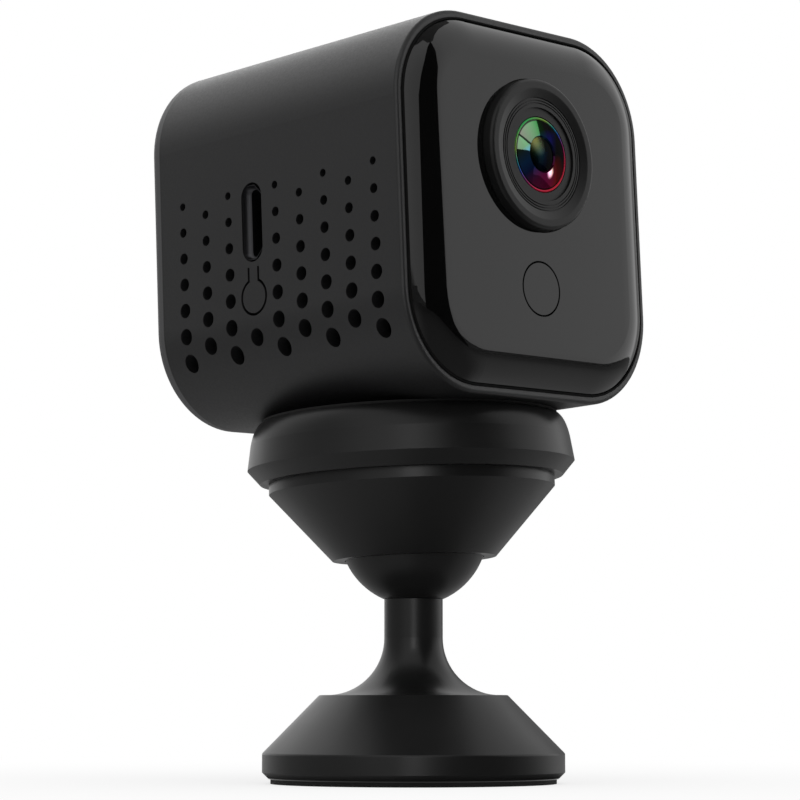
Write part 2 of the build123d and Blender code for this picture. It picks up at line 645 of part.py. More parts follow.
# The panel's domed border is the last part of a large edge round, trimmed where the shell's gap is
PANEL_INSET = FRONT_RIM + PANEL_GAP
PANEL_OVERHANG = PANEL_EDGE_ROUND - sqrt(PANEL_EDGE_ROUND**2 - (PANEL_EDGE_ROUND - PANEL_RISE) ** 2)
with BuildPart() as front_panel:
    with BuildSketch(front_plane(PANEL_RISE)):
        shell_outline(PANEL_INSET - PANEL_OVERHANG)
    extrude(amount=-2 * PANEL_EDGE_ROUND)
    fillet(front_panel.faces().sort_by(Axis.Y)[0].edges(), radius=PANEL_EDGE_ROUND)
    with BuildSketch(front_plane(-PANEL_SEAT)):
        shell_outline(PANEL_INSET)
    extrude(amount=PANEL_SEAT + PANEL_RISE, mode=Mode.INTERSECT)
    with BuildSketch(front_plane(-PANEL_SEAT)):
        shell_outline(PANEL_INSET + PANEL_FLANGE)
    extrude(amount=PANEL_SEAT + PANEL_BACK, mode=Mode.SUBTRACT)
    with BuildSketch(front_plane(PANEL_BACK)):
        with GridLocations(PANEL_POSTS_ACROSS, PANEL_POSTS_UP, 2, 2):
            Circle(PANEL_POST_RADIUS)
    extrude(amount=FRONT_BOARD_FACE - PANEL_BACK)
    with BuildSketch(front_plane(PANEL_RISE)):
        with Locations((0, LENS_HEIGHT)):
            Circle(BEZEL_RADIUS + BEZEL_GAP)
        with Locations((0, BUTTON_HEIGHT)):
            Circle(BUTTON_RADIUS + BUTTON_GAP)
    extrude(amount=-PANEL_SKIN, mode=Mode.SUBTRACT)
save(front_panel.part, "front_panel", CAMERA_POSE)

# ---------------------------------------------------------------- lens
CREST_OUTER = BEZEL_RADIUS - BEZEL_DRAFT
CREST_INNER = CREST_OUTER - BEZEL_CREST_WIDTH
DISH_FACE = BEZEL_CREST - DISH_DROP
BEZEL_BACK = PANEL_BACK - BEZEL_FLANGE_THICKNESS
with BuildPart() as lens_bezel:
    with BuildSketch(LENS_SECTION):
        with BuildLine():
            Polyline(
                (GLASS_RADIUS + GLASS_GAP, ANNULUS_FACE),
                (ANNULUS_RADIUS, ANNULUS_FACE),
                (ANNULUS_RADIUS, DISH_FACE),
                (GROOVE_RADIUS, DISH_FACE),
                (CREST_INNER, BEZEL_CREST),
                (CREST_OUTER, BEZEL_CREST),
                (BEZEL_RADIUS, PANEL_RISE),
                (BEZEL_RADIUS, PANEL_BACK),
                (BEZEL_RADIUS + BEZEL_FLANGE, PANEL_BACK),
                (BEZEL_RADIUS + BEZEL_FLANGE, BEZEL_BACK),
                (BARREL_RADIUS + BARREL_CLEARANCE, BEZEL_BACK),
                (BARREL_RADIUS + BARREL_CLEARANCE, ANNULUS_FACE - ANNULUS_THICKNESS),
                (GLASS_RADIUS + GLASS_GAP, ANNULUS_FACE - ANNULUS_THICKNESS),
                close=True,
            )
        make_face()
    revolve(axis=LENS_AXIS)
    crest_edges = lens_bezel.edges().group_by(Axis.Y)[0]
    fillet(crest_edges, radius=BEZEL_CREST_ROUND)
    with BuildSketch(front_plane(DISH_FACE)):
        with Locations((0, LENS_HEIGHT)):
            for groove in range(GROOVES):
                Circle(GROOVE_RADIUS - groove * GROOVE_PITCH)
                Circle(GROOVE_RADIUS - groove * GROOVE_PITCH - GROOVE_WIDTH, mode=Mode.SUBTRACT)
    extrude(amount=-GROOVE_DEPTH, mode=Mode.SUBTRACT)
save(lens_bezel.part, "lens_bezel", CAMERA_POSE)

GLASS_SEAT = BARREL_FRONT - GLASS_SEAT_DEPTH
GLASS_EDGE = ANNULUS_FACE - GLASS_EDGE_DROP
BARREL_BACK = HOLDER_BACK - SENSOR_THICKNESS - SENSOR_ROOM - HOLDER_FLOOR
with BuildPart() as lens_barrel:
    with BuildSketch(front_plane(BARREL_FRONT)):
        with Locations((0, LENS_HEIGHT)):
            Circle(BARREL_RADIUS)
            Circle(BARREL_BORE_RADIUS, mode=Mode.SUBTRACT)
    extrude(amount=-(BARREL_FRONT + FRONT + BARREL_BACK))
    with BuildSketch(front_plane(BARREL_FRONT)):
        with Locations((0, LENS_HEIGHT)):
            Circle(GLASS_RADIUS + GLASS_GAP)
    extrude(amount=-GLASS_SEAT_DEPTH, mode=Mode.SUBTRACT)
save(lens_barrel.part, "lens_barrel", CAMERA_POSE)

with BuildPart() as front_lens:
    with BuildSketch(LENS_SECTION):
        dome_radius = (GLASS_RADIUS**2 + GLASS_DOME**2) / (2 * GLASS_DOME)
        dome_angle = degrees(asin(GLASS_RADIUS / dome_radius))
        with BuildLine():
            CenterArc((0, GLASS_EDGE + GLASS_DOME - dome_radius), dome_radius, 90 - dome_angle, dome_angle)
            Polyline(
                (0, GLASS_EDGE + GLASS_DOME),
                (0, GLASS_SEAT),
                (GLASS_RADIUS, GLASS_SEAT),
                (GLASS_RADIUS, GLASS_EDGE),
            )
        make_face()
    revolve(axis=LENS_AXIS)
save(front_lens.part, "front_lens", CAMERA_POSE)

with BuildPart() as rear_lens:
    with BuildSketch(back_plane(BARREL_BACK - REAR_LENS_SETBACK)):
        with Locations((0, LENS_HEIGHT)):
            Circle(BARREL_BORE_RADIUS - HOLDER_FIT)
    extrude(amount=REAR_LENS_THICKNESS)
save(rear_lens.part, "rear_lens", CAMERA_POSE)

with BuildPart() as lens_holder:
    with BuildSketch(back_plane(HOLDER_BACK)):
        with Locations((0, LENS_HEIGHT)):
            RectangleRounded(HOLDER_SIZE, HOLDER_SIZE, HOLDER_CORNER)
    extrude(amount=HOLDER_BACK - HOLDER_FRONT)
    with BuildSketch(back_plane(HOLDER_FRONT)):
        with Locations((0, LENS_HEIGHT)):
            Circle(BARREL_RADIUS + HOLDER_FIT)
    extrude(amount=-(BARREL_BACK - HOLDER_FRONT), mode=Mode.SUBTRACT)
    with BuildSketch(back_plane(HOLDER_BACK)):
        with Locations((0, LENS_HEIGHT)):
            Rectangle(SENSOR_SIZE + 2 * SENSOR_ROOM, SENSOR_SIZE + 2 * SENSOR_ROOM)
    extrude(amount=SENSOR_THICKNESS + SENSOR_ROOM, mode=Mode.SUBTRACT)
    with BuildSketch(back_plane(HOLDER_BACK)):
        with Locations((0, LENS_HEIGHT)):
            Circle(HOLDER_WINDOW_RADIUS)
    extrude(amount=HOLDER_BACK - BARREL_BACK, mode=Mode.SUBTRACT)
save(lens_holder.part, "lens_holder", CAMERA_POSE)

with BuildPart() as image_sensor:
    with BuildSketch(back_plane(HOLDER_BACK)):
        with Locations((0, LENS_HEIGHT)):
            Rectangle(SENSOR_SIZE, SENSOR_SIZE)
    extrude(amount=SENSOR_THICKNESS)
save(image_sensor.part, "image_sensor", CAMERA_POSE)

with BuildPart() as sensor_board:
    with BuildSketch(back_plane(SENSOR_BOARD_BACK_Y)):
        with Locations((0, LENS_HEIGHT)):
            RectangleRounded(HOLDER_SIZE, HOLDER_SIZE, HOLDER_CORNER)
    extrude(amount=SENSOR_BOARD_THICKNESS)
save(sensor_board.part, "sensor_board", CAMERA_POSE)

with BuildPart() as sensor_standoffs:
    with BuildSketch(back_plane(BOARD_FACE_Y)):
        with Locations((0, LENS_HEIGHT)):
            with GridLocations(STANDOFF_PITCH, STANDOFF_PITCH, 2, 2):
                Circle(STANDOFF_RADIUS)
    extrude(amount=BOARD_FACE_Y - SENSOR_BOARD_BACK_Y)
save(sensor_standoffs.part, "sensor_standoffs", CAMERA_POSE)

# ---------------------------------------------------------------- front board and button
with BuildPart() as front_board:
    with BuildSketch(front_plane(FRONT_BOARD_FACE)):
        RectangleRounded(FRONT_BOARD_WIDTH, FRONT_BOARD_HEIGHT, FRONT_BOARD_CORNER)
        with Locations((0, LENS_HEIGHT)):
            Circle(BARREL_RADIUS + BARREL_CLEARANCE, mode=Mode.SUBTRACT)
    extrude(amount=-FRONT_BOARD_THICKNESS)
save(front_board.part, "front_board", CAMERA_POSE)

with BuildPart() as infrared_lamps:
    with BuildSketch(front_plane(FRONT_BOARD_FACE)):
        with Locations((0, LENS_HEIGHT)):
            with PolarLocations(LAMP_CIRCLE_RADIUS, LAMPS):
                Circle(LAMP_RADIUS)
    extrude(amount=LAMP_HEIGHT)
save(infrared_lamps.part, "infrared_lamps", CAMERA_POSE)

with BuildPart() as light_sensor:
    with BuildSketch(front_plane(FRONT_BOARD_FACE)):
        with Locations((-SMALL_PART_X, SMALL_PART_HEIGHT)):
            Rectangle(LIGHT_SENSOR_SIZE, LIGHT_SENSOR_SIZE)
    extrude(amount=LIGHT_SENSOR_HEIGHT)
save(light_sensor.part, "light_sensor", CAMERA_POSE)

with BuildPart() as microphone:
    with BuildSketch(front_plane(FRONT_BOARD_FACE)):
        with Locations((SMALL_PART_X, SMALL_PART_HEIGHT)):
            Circle(MICROPHONE_RADIUS)
    extrude(amount=MICROPHONE_HEIGHT)
save(microphone.part, "microphone", CAMERA_POSE)

BUTTON_STEM_END = PANEL_BACK - BUTTON_FLANGE_THICKNESS - BUTTON_STEM
with BuildPart() as front_button:
    with BuildSketch(front_plane(PANEL_RISE)):
        with Locations((0, BUTTON_HEIGHT)):
            Circle(BUTTON_RADIUS)
    extrude(amount=-PANEL_SKIN)
    with BuildSketch(front_plane(PANEL_BACK)):
        with Locations((0, BUTTON_HEIGHT)):
            Circle(BUTTON_RADIUS + BUTTON_FLANGE)
    extrude(amount=-BUTTON_FLANGE_THICKNESS)
    with BuildSketch(front_plane(PANEL_BACK - BUTTON_FLANGE_THICKNESS)):
        with Locations((0, BUTTON_HEIGHT)):
            Circle(BUTTON_STEM_RADIUS)
    extrude(amount=-BUTTON_STEM)
save(front_button.part, "front_button", CAMERA_POSE)

with BuildPart() as button_switch:
    with BuildSketch(front_plane(FRONT_BOARD_FACE)):
        with Locations((0, BUTTON_HEIGHT)):
            Rectangle(BUTTON_SWITCH_SIZE, BUTTON_SWITCH_SIZE)
    extrude(amount=BUTTON_SWITCH_HEIGHT)
    with BuildSketch(front_plane(FRONT_BOARD_FACE + BUTTON_SWITCH_HEIGHT)):
        with Locations((0, BUTTON_HEIGHT)):
            Circle(BUTTON_STEM_RADIUS)
    extrude(
        amount=BUTTON_STEM_END - BUTTON_TRAVEL - BUTTON_PLAY - FRONT_BOARD_FACE - BUTTON_SWITCH_HEIGHT
    )
save(button_switch.part, "button_switch", CAMERA_POSE)

# ---------------------------------------------------------------- main board and what it carries
with BuildPart() as main_board:
    with BuildSketch(back_plane(BOARD_BACK_Y)):
        RectangleRounded(BOARD_WIDTH, BOARD_HEIGHT, BOARD_CORNER)
        with GridLocations(BOARD_POSTS_ACROSS, BOARD_POSTS_UP, 2, 2):
            Circle(BOARD_SCREW_RADIUS + SCREW_CLEARANCE, mode=Mode.SUBTRACT)
    extrude(amount=BOARD_THICKNESS)
save(main_board.part, "main_board", CAMERA_POSE)

with BuildPart() as board_screws:
    with BuildSketch(back_plane(BOARD_FACE_Y)):
        with GridLocations(BOARD_POSTS_ACROSS, BOARD_POSTS_UP, 2, 2):
            Circle(BOARD_SCREW_HEAD_RADIUS)
    extrude(amount=BOARD_SCREW_HEAD)
    with BuildSketch(back_plane(BOARD_FACE_Y)):
        with GridLocations(BOARD_POSTS_ACROSS, BOARD_POSTS_UP, 2, 2):
            Circle(BOARD_SCREW_RADIUS)
    extrude(amount=-(BOARD_THICKNESS + BOARD_SCREW_GRIP))
save(board_screws.part, "board_screws", CAMERA_POSE)

with BuildPart() as processor:
    with BuildSketch(back_plane(BOARD_FACE_Y)):
        with Locations((PROCESSOR_X, PROCESSOR_HEIGHT)):
            Rectangle(PROCESSOR_SIZE, PROCESSOR_SIZE)
    extrude(amount=PROCESSOR_THICKNESS)
save(processor.part, "processor", CAMERA_POSE)

with BuildPart() as usb_port:
    with BuildSketch(Plane.YZ.offset(USB_MOUTH_X)) as port_outline:
        with Locations((PORT_Y, USB_HEIGHT)):
            Rectangle(USB_PORT_THICKNESS, USB_PORT_LENGTH)
        chamfer(port_outline.vertices().group_by(Axis.X)[0], length=USB_PORT_CHAMFER)
        fillet(port_outline.vertices().group_by(Axis.X)[-1], radius=USB_PORT_ROUND)
    extrude(amount=USB_PORT_DEPTH)
    with BuildSketch(Plane.YZ.offset(USB_MOUTH_X)) as port_room:
        with Locations((PORT_Y, USB_HEIGHT)):
            Rectangle(USB_PORT_THICKNESS - 2 * USB_PORT_WALL, USB_PORT_LENGTH - 2 * USB_PORT_WALL)
        chamfer(port_room.vertices().group_by(Axis.X)[0], length=USB_PORT_CHAMFER)
        fillet(port_room.vertices().group_by(Axis.X)[-1], radius=USB_PORT_ROUND - USB_PORT_WALL)
    extrude(amount=USB_PORT_DEPTH - USB_PORT_WALL, mode=Mode.SUBTRACT)
    with BuildSketch(Plane.YZ.offset(USB_MOUTH_X + USB_TONGUE_RECESS)):
        with Locations((PORT_Y, USB_HEIGHT)):
            Rectangle(USB_TONGUE_THICKNESS, USB_TONGUE_LENGTH)
    extrude(amount=USB_PORT_DEPTH - USB_PORT_WALL - USB_TONGUE_RECESS)
save(usb_port.part, "usb_port", CAMERA_POSE)

with BuildPart() as reset_switch:
    with BuildSketch(Plane.YZ.offset(RESET_SWITCH_X)):
        with Locations((PORT_Y, RESET_HEIGHT)):
            Rectangle(USB_PORT_THICKNESS, RESET_SWITCH_HEIGHT)
    extrude(amount=RESET_SWITCH_SIZE)
    with BuildSketch(Plane.YZ.offset(RESET_SWITCH_X)):
        with Locations((PORT_Y, RESET_HEIGHT)):
            Circle(RESET_ACTUATOR_RADIUS)
    extrude(amount=-RESET_ACTUATOR_LENGTH)
save(reset_switch.part, "reset_switch", CAMERA_POSE)

with BuildPart() as card_socket:
    with BuildSketch(Plane.YZ.offset(ROOM_HALF_WIDTH - CARD_SOCKET_GAP)):
        with Locations((CARD_Y, CARD_HEIGHT)):
            Rectangle(CARD_SOCKET_THICKNESS, CARD_SOCKET_HEIGHT)
    extrude(amount=-CARD_SOCKET_LENGTH)
    with BuildSketch(Plane.YZ.offset(ROOM_HALF_WIDTH - CARD_SOCKET_GAP)):
        with Locations((CARD_Y, CARD_HEIGHT)):
            Rectangle(CARD_ROOM, CARD_SLOT_LENGTH)
    extrude(amount=-CARD_DEPTH, mode=Mode.SUBTRACT)
save(card_socket.part, "card_socket", CAMERA_POSE)

with BuildPart() as battery:
    with BuildSketch(back_plane(BATTERY_BACK_Y)):
        RectangleRounded(BATTERY_WIDTH, BATTERY_HEIGHT, BATTERY_CORNER)
    extrude(amount=BATTERY_BACK_Y - BATTERY_FRONT_Y)
save(battery.part, "battery", CAMERA_POSE)

with BuildPart() as flat_cable:
    with BuildSketch(back_plane(BOARD_FACE_Y)):
        with Locations((0, CABLE_HEIGHT)):
            Rectangle(CABLE_WIDTH, CABLE_THICKNESS)
    extrude(amount=BOARD_FACE_Y + FRONT + FRONT_BOARD_FACE - FRONT_BOARD_THICKNESS)
save(flat_cable.part, "flat_cable", CAMERA_POSE)

with BuildPart() as speaker:
    with BuildSketch(Plane.YZ.offset(ROOM_HALF_WIDTH - SPEAKER_GAP)):
        with Locations((SPEAKER_FROM_FRONT - FRONT, SPEAKER_HEIGHT)):
            Circle(SPEAKER_RADIUS)
    extrude(amount=-SPEAKER_THICKNESS)
save(speaker.part, "speaker", CAMERA_POSE)

with BuildPart() as wifi_antenna:
    with BuildSketch(Plane.XY.offset(ROOM_HALF_HEIGHT - ANTENNA_GAP)):
        with Locations((0, ANTENNA_FROM_FRONT - FRONT)):
            Rectangle(ANTENNA_WIDTH, ANTENNA_DEPTH)
    extrude(amount=-ANTENNA_THICKNESS)
save(wifi_antenna.part, "wifi_antenna", CAMERA_POSE)

with BuildPart() as steel_plate:
    with BuildSketch(Plane.XY.offset(-ROOM_HALF_HEIGHT)):
        with Locations((0, -BODY_SETBACK)):
            Circle(PLATE_RADIUS)
    extrude(amount=PLATE_THICKNESS)
save(steel_plate.part, "steel_plate", CAMERA_POSE)
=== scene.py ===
"""Cube security camera on a magnetic ball-joint stand, dressed piece by piece as it is put together."""

import json
from math import cos, pi, radians, sin

import bmesh
import bpy
from mathutils import Matrix, Vector


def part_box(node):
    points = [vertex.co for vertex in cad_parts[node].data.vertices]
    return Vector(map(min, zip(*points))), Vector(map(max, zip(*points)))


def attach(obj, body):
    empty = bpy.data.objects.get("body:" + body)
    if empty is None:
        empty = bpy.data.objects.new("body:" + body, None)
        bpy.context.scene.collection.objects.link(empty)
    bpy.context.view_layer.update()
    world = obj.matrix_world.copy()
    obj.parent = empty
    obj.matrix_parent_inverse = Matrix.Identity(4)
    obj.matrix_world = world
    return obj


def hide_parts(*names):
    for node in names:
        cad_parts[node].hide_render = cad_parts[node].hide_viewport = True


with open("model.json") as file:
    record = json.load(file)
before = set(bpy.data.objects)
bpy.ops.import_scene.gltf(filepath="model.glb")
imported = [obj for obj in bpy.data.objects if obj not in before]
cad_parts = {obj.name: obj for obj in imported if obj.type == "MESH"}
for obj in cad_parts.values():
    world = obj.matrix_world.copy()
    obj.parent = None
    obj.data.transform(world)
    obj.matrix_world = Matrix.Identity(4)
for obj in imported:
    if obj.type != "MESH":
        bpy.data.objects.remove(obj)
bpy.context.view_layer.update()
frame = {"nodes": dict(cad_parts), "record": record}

# -------- camera
# A long lens set low and to the front left, so that the front and the side with the USB port show alike.
# It looks slightly upwards from the height of the foot, as at a thing on a shelf.
eye = bpy.data.cameras.new("eye")
eye.sensor_width = 36.0
eye.lens = 126.75
eye.clip_start = 0.01
eye_stand = bpy.data.objects.new("eye", eye)
eye_stand.location = (-0.21803, -0.21148, 0.00829)
upward_tilt, turn_right = 6.19, 45.60
eye_stand.rotation_euler = (radians(90 + upward_tilt), 0, -radians(turn_right))
bpy.context.collection.objects.link(eye_stand)
bpy.context.scene.camera = eye_stand
bpy.context.scene.view_settings.view_transform = "Standard"


# -------- studio walls
# A white product tent of thin cloth around the table, lit from outside through some of its walls. Glossy
# faces and glass see it white, brighter towards the lit walls, and it fills the shadows softly.
def hex_colour(code):
    """Linear colour of an sRGB hex code."""
    shares = [int(code[place:place + 2], 16) / 255 for place in (1, 3, 5)]
    return [c / 12.92 if c <= 0.04045 else ((c + 0.055) / 1.055) ** 2.4 for c in shares] + [1.0]


def wire(node, inputs):
    """Set a node's inputs to values or hex colours, or link them to sockets or other nodes' first outputs."""
    for socket, value in inputs.items():
        if isinstance(value, bpy.types.Node):
            value = next(output for output in value.outputs if output.enabled)
        if isinstance(value, bpy.types.NodeSocket):
            node.id_data.links.new(value, node.inputs[socket])
        else:
            node.inputs[socket].default_value = hex_colour(value) if isinstance(value, str) else value


def add_node(tree, kind, inputs=None, **settings):
    """Add a node of that kind, with its settings, and set or link its inputs."""
    made = tree.nodes.new("ShaderNode" + kind)
    for name, value in settings.items():
        setattr(made, name, value)
    wire(made, inputs or {})
    return made


def looked_at(tree):
    """One for a ray from the camera, off a glossy face or through glass, and nought for one that lights."""
    rays = add_node(tree, "LightPath").outputs
    seen = add_node(tree, "Math", {0: rays["Is Camera Ray"], 1: rays["Is Glossy Ray"]}, operation="MAXIMUM")
    seen = add_node(tree, "Math", {0: seen, 1: rays["Is Transmission Ray"]}, operation="MAXIMUM")
    return seen, rays["Is Camera Ray"]


tent = bpy.data.worlds.new("white_tent")
bpy.context.scene.world = tent
tent.use_nodes = True
tree = tent.node_tree
tree.nodes.clear()
seen, by_camera = looked_at(tree)
way = add_node(tree, "TexCoord").outputs["Generated"]
# Where each patch of cloth lies, the cosines at which it starts and is at its full, and what it adds
cloth_patches = (
    ((0.956, -0.238, 0.174), 0.885, 0.965, 0.28),  # lit wall, low on the right
    ((-0.15, 0.72, 0.68), 0.77, 1.0, 0.55),  # lit roof, behind
    ((-0.75, 0.65, 0.10), 0.55, 0.90, -0.56),  # shaded wall, back left
    ((-0.20, -0.97, 0.15), 0.60, 1.0, -0.22),  # the opening in front
    ((0.90, 0.42, 0.12), 0.90, 0.99, -0.75))  # shaded seam, back right
glare = 1.0
for aim, start, full, gain in cloth_patches:
    near = add_node(tree, "VectorMath", {0: way, 1: aim}, operation="DOT_PRODUCT")
    patch = add_node(tree, "MapRange", {"Value": near, "From Min": start, "From Max": full,
                                        "To Max": gain}, interpolation_type="SMOOTHSTEP")
    glare = add_node(tree, "Math", {0: patch, 1: glare})
# The backdrop itself stays plain white, and what only lights the pieces is held at 0.6 of that
glare = add_node(tree, "Math", {0: glare, 1: by_camera}, operation="MAXIMUM")
fill = add_node(tree, "Background", {"Color": "#ffffff", "Strength": 0.6})
white = add_node(tree, "Background", {"Color": "#ffffff", "Strength": glare})
walls = add_node(tree, "MixShader", {0: seen, 1: fill, 2: white})
add_node(tree, "OutputWorld", {"Surface": walls})


# -------- paper floor
# A sweep of heavy white paper on the table. It keeps the stand's soft shadow close by and is lost in the
# white further out, where nothing shades it.
def start_finish(name):
    """New material with its Principled shader, and the piece's own coordinates to place patterns on it."""
    finish = bpy.data.materials.new(name)
    finish.use_nodes = True
    tree = finish.node_tree
    return finish, tree, tree.nodes["Principled BSDF"], add_node(tree, "TexCoord").outputs["Object"]


bpy.ops.object.select_all(action="DESELECT")
bpy.ops.mesh.primitive_plane_add(size=3.0, location=(0, 0, 0))
paper_floor = bpy.context.object
paper_floor.name = "paper_floor"
paper, tree, shader, place = start_finish("white_sweep_paper")
# Paper is matt, so the light only falls off softly under the foot
wire(shader, {"Base Color": "#fbfbfb", "Roughness": 0.9, "Specular IOR Level": 0.0})
# Its own glow gives way to the shadow within 14 cm of the foot
seen, _ = looked_at(tree)
reach = add_node(tree, "VectorMath", {0: place}, operation="LENGTH")
away = add_node(tree, "MapRange", {"Value": reach, "From Min": 0.02, "From Max": 0.14,
                                   "To Min": 0.74}, interpolation_type="SMOOTHSTEP")
share = add_node(tree, "Math", {0: seen, 1: away}, operation="MULTIPLY")
glow = add_node(tree, "Emission")
sheet = add_node(tree, "MixShader", {0: share, 1: shader, 2: glow})
wire(tree.nodes["Material Output"], {"Surface": sheet})
paper_floor.data.materials.append(paper)


# -------- softboxes
# One broad box of white cloth overhead lights the camera evenly and settles its shadow on the paper.
# Small ones, each shaded off all but the pieces it is linked to, lay the upright highlight down the stand
# and draw the case's front edge, right rim and top ridge and the rear cover out of the dark.
def softbox(name, place, aim, width, height, power):
    """Rectangular area lamp at a place, facing what it is aimed at."""
    lamp = bpy.data.lights.new(name, "AREA")
    lamp.shape = "RECTANGLE"
    lamp.size, lamp.size_y, lamp.energy = width, height, power
    box = bpy.data.objects.new(name, lamp)
    box.location = place
    box.rotation_euler = (Vector(aim) - Vector(place)).to_track_quat("-Z", "Y").to_euler()
    bpy.context.collection.objects.link(box)
    box.visible_camera = False
    return box


def light_only(name, lamps, *pieces):
    """Keep the light of those lamps to the pieces given, which make a collection of that name."""
    lit = bpy.data.collections.new(name)
    for piece in pieces:
        lit.objects.link(piece)
    for lamp in lamps:
        lamp.light_linking.receiver_collection = lit


nodes = frame["nodes"]
head_middle = (0, 0, 0.06)
overhead = softbox("overhead_box", (-0.10, -0.15, 0.75), head_middle, 0.60, 0.60, 2.2)
# It only lights, because in reflections the tent's own roof stands for it
overhead.visible_glossy = False
low_box = softbox("low_front_box", (-0.45, -0.44, 0.125), (0, 0, 0.03), 0.142, 0.283, 0.54)
light_only("stand_pieces", [low_box], nodes["base_shell"], nodes["ball"], nodes["socket_cup"],
           nodes["mount_disc"])
edge_box = softbox("edge_box", (-0.42, -0.42, 0.16), head_middle, 0.15, 0.30, 0.35)
rim_box = softbox("rim_box", (0.40, -0.35, 0.15), head_middle, 0.16, 0.16, 0.20)
ridge_box = softbox("ridge_box", (0.45, 0.65, 0.51), (0, 0, 0.08), 0.34, 0.34, 0.62)
light_only("shell_pieces", [edge_box, rim_box, ridge_box], nodes["body_shell"], nodes["rear_cover"])
back_box = softbox("back_box", (0.16, 0.55, 0.42), head_middle, 0.35, 0.35, 1.2)
light_only("back_pieces", [back_box], nodes["rear_cover"])


# -------- flags and table cloth
# A black flag outside the tent's opening, grey ones over its roof and along its foot, and grey felt on the
# table. Only glossy faces see them: the black one cuts the dark band down the panel's left side, the grey
# ones shade its top and its foot, and the felt calms what is turned down.
def cut_card(name, outline, cloth):
    """Flat card cut to an outline in metres. It is seen in reflections only and shades nothing."""
    bpy.ops.object.select_all(action="DESELECT")
    bpy.ops.mesh.primitive_circle_add(vertices=len(outline), fill_type="NGON")
    card = bpy.context.object
    card.name = name
    for corner, spot in zip(card.data.vertices, outline):
        corner.co = (*spot, 0)
    card.data.materials.append(cloth)
    card.visible_camera = card.visible_diffuse = card.visible_transmission = card.visible_shadow = False
    return card


upright = (radians(90), 0, 0)
opening = -0.50

flag_cloth, _, shader, _ = start_finish("black_flag_cloth")
# Duvetyn is matt and gives back almost nothing
wire(shader, {"Base Color": "#020202", "Specular IOR Level": 0.0})
front_flag = cut_card("front_flag", (
    (-0.27, 0), (0.36, 0), (0.36, 0.17), (0.30, 0.22), (0.25, 0.29), (0.17, 0.38), (0.08, 0.64),
    (0.03, 0.88), (-0.04, 0.73), (-0.11, 0.48), (-0.18, 0.34), (-0.22, 0.24), (-0.25, 0.20), (-0.27, 0.16)),
    flag_cloth)
front_flag.location = (0, opening + 0.002, 0)
front_flag.rotation_euler = upright

grey_cloth, _, shader, _ = start_finish("grey_flag_cloth")
# The same cloth in grey, for what should stay dark without being black
wire(shader, {"Base Color": "#868686", "Specular IOR Level": 0.0})
roof_flag = cut_card("roof_flag", (
    (-0.50, 0.15), (-0.50, -0.36), (-0.28, -0.376), (-0.13, -0.40), (-0.04, -0.59), (0.04, -0.64),
    (0.12, -0.635), (0.19, -0.455), (0.31, -0.277), (0.47, -0.135), (0.60, 0.0), (0.60, 0.15)), grey_cloth)
roof_flag.location = (0, 0, 1.06)
low_flag = cut_card("low_flag", (
    (-0.9, 0), (1.1, 0), (0.9, 0.03), (0.70, 0.055), (0.55, 0.075), (0.45, 0.09), (0.2, 0.07),
    (-0.22, 0.022), (-0.324, 0.038), (-0.437, 0.091), (-0.542, 0.18), (-0.9, 0.25)), grey_cloth)
low_flag.location = (0, opening, 0)
low_flag.rotation_euler = upright

felt, tree, shader, place = start_finish("grey_felt_cloth")
# Felt is matt, about half as bright as the paper, with painted shade: darker further out and where it lies
# straight in front
axes = add_node(tree, "SeparateXYZ", {0: place})
ahead = add_node(tree, "Math", {0: axes.outputs["Y"], 1: -1.0}, operation="MULTIPLY")
bearing = add_node(tree, "Math", {0: axes.outputs["X"], 1: ahead}, operation="ARCTAN2")
right, left = (add_node(tree, "MapRange", {"Value": bearing, "From Min": radians(start),
                                           "From Max": radians(full), "To Min": 0.36},
                        interpolation_type="SMOOTHSTEP") for start, full in ((18, 52), (-34, -60)))
pale = add_node(tree, "Math", {0: right, 1: left}, operation="MAXIMUM")
reach = add_node(tree, "VectorMath", {0: place}, operation="LENGTH")
far = add_node(tree, "MapRange", {"Value": reach, "From Min": 0.03, "From Max": 0.36,
                                  "To Min": 0.60, "To Max": 0.27})
painted_felt_shade = add_node(tree, "Math", {0: pale, 1: far}, operation="MULTIPLY")
wire(shader, {"Base Color": painted_felt_shade, "Roughness": 0.95, "Specular IOR Level": 0.0})
table_cloth = cut_card("grey_table_cloth", ((-1.2, -1.2), (1.2, -1.2), (1.2, 1.2), (-1.2, 1.2)), felt)
table_cloth.location = (0, 0, 0.0006)


# -------- foot pad
# A disc of soft rubber let into the stand's underside so that it doesn't slide. Moulded against a
# ground tool, so it is evenly matt with a fine tooth.
def dress(finish, *names):
    """Give CAD nodes their finish."""
    for name in names:
        nodes[name].data.materials.clear()
        nodes[name].data.materials.append(finish)


foot_rubber, tree, shader, place = start_finish("matt_moulded_rubber")
# Rubber drinks the light, and its fine tooth breaks up what little it returns
grit = add_node(tree, "TexNoise", {"Vector": place, "Scale": 1 / 0.0003, "Detail": 3.0})
bloom = add_node(tree, "TexNoise", {"Vector": place, "Scale": 1 / 0.006})
tone = add_node(tree, "Mix", {0: bloom, 6: "#0c0c0c", 7: "#1a1a1a"}, data_type="RGBA")
tooth = add_node(tree, "Bump", {"Height": grit, "Strength": 0.5, "Distance": 0.00004})
wire(shader, {"Base Color": tone, "Normal": tooth, "Roughness": 0.82, "Specular IOR Level": 0.3})
dress(foot_rubber, "foot_pad")


# -------- stand: foot and post, ball, cup and disc
# Four turned-looking mouldings in black polycarbonate, taken from polished steel moulds. They are smooth
# and softly glossy, with long clear highlights down their sides and a very slight unevenness.
stand_plastic, tree, shader, place = start_finish("satin_moulded_polycarbonate")
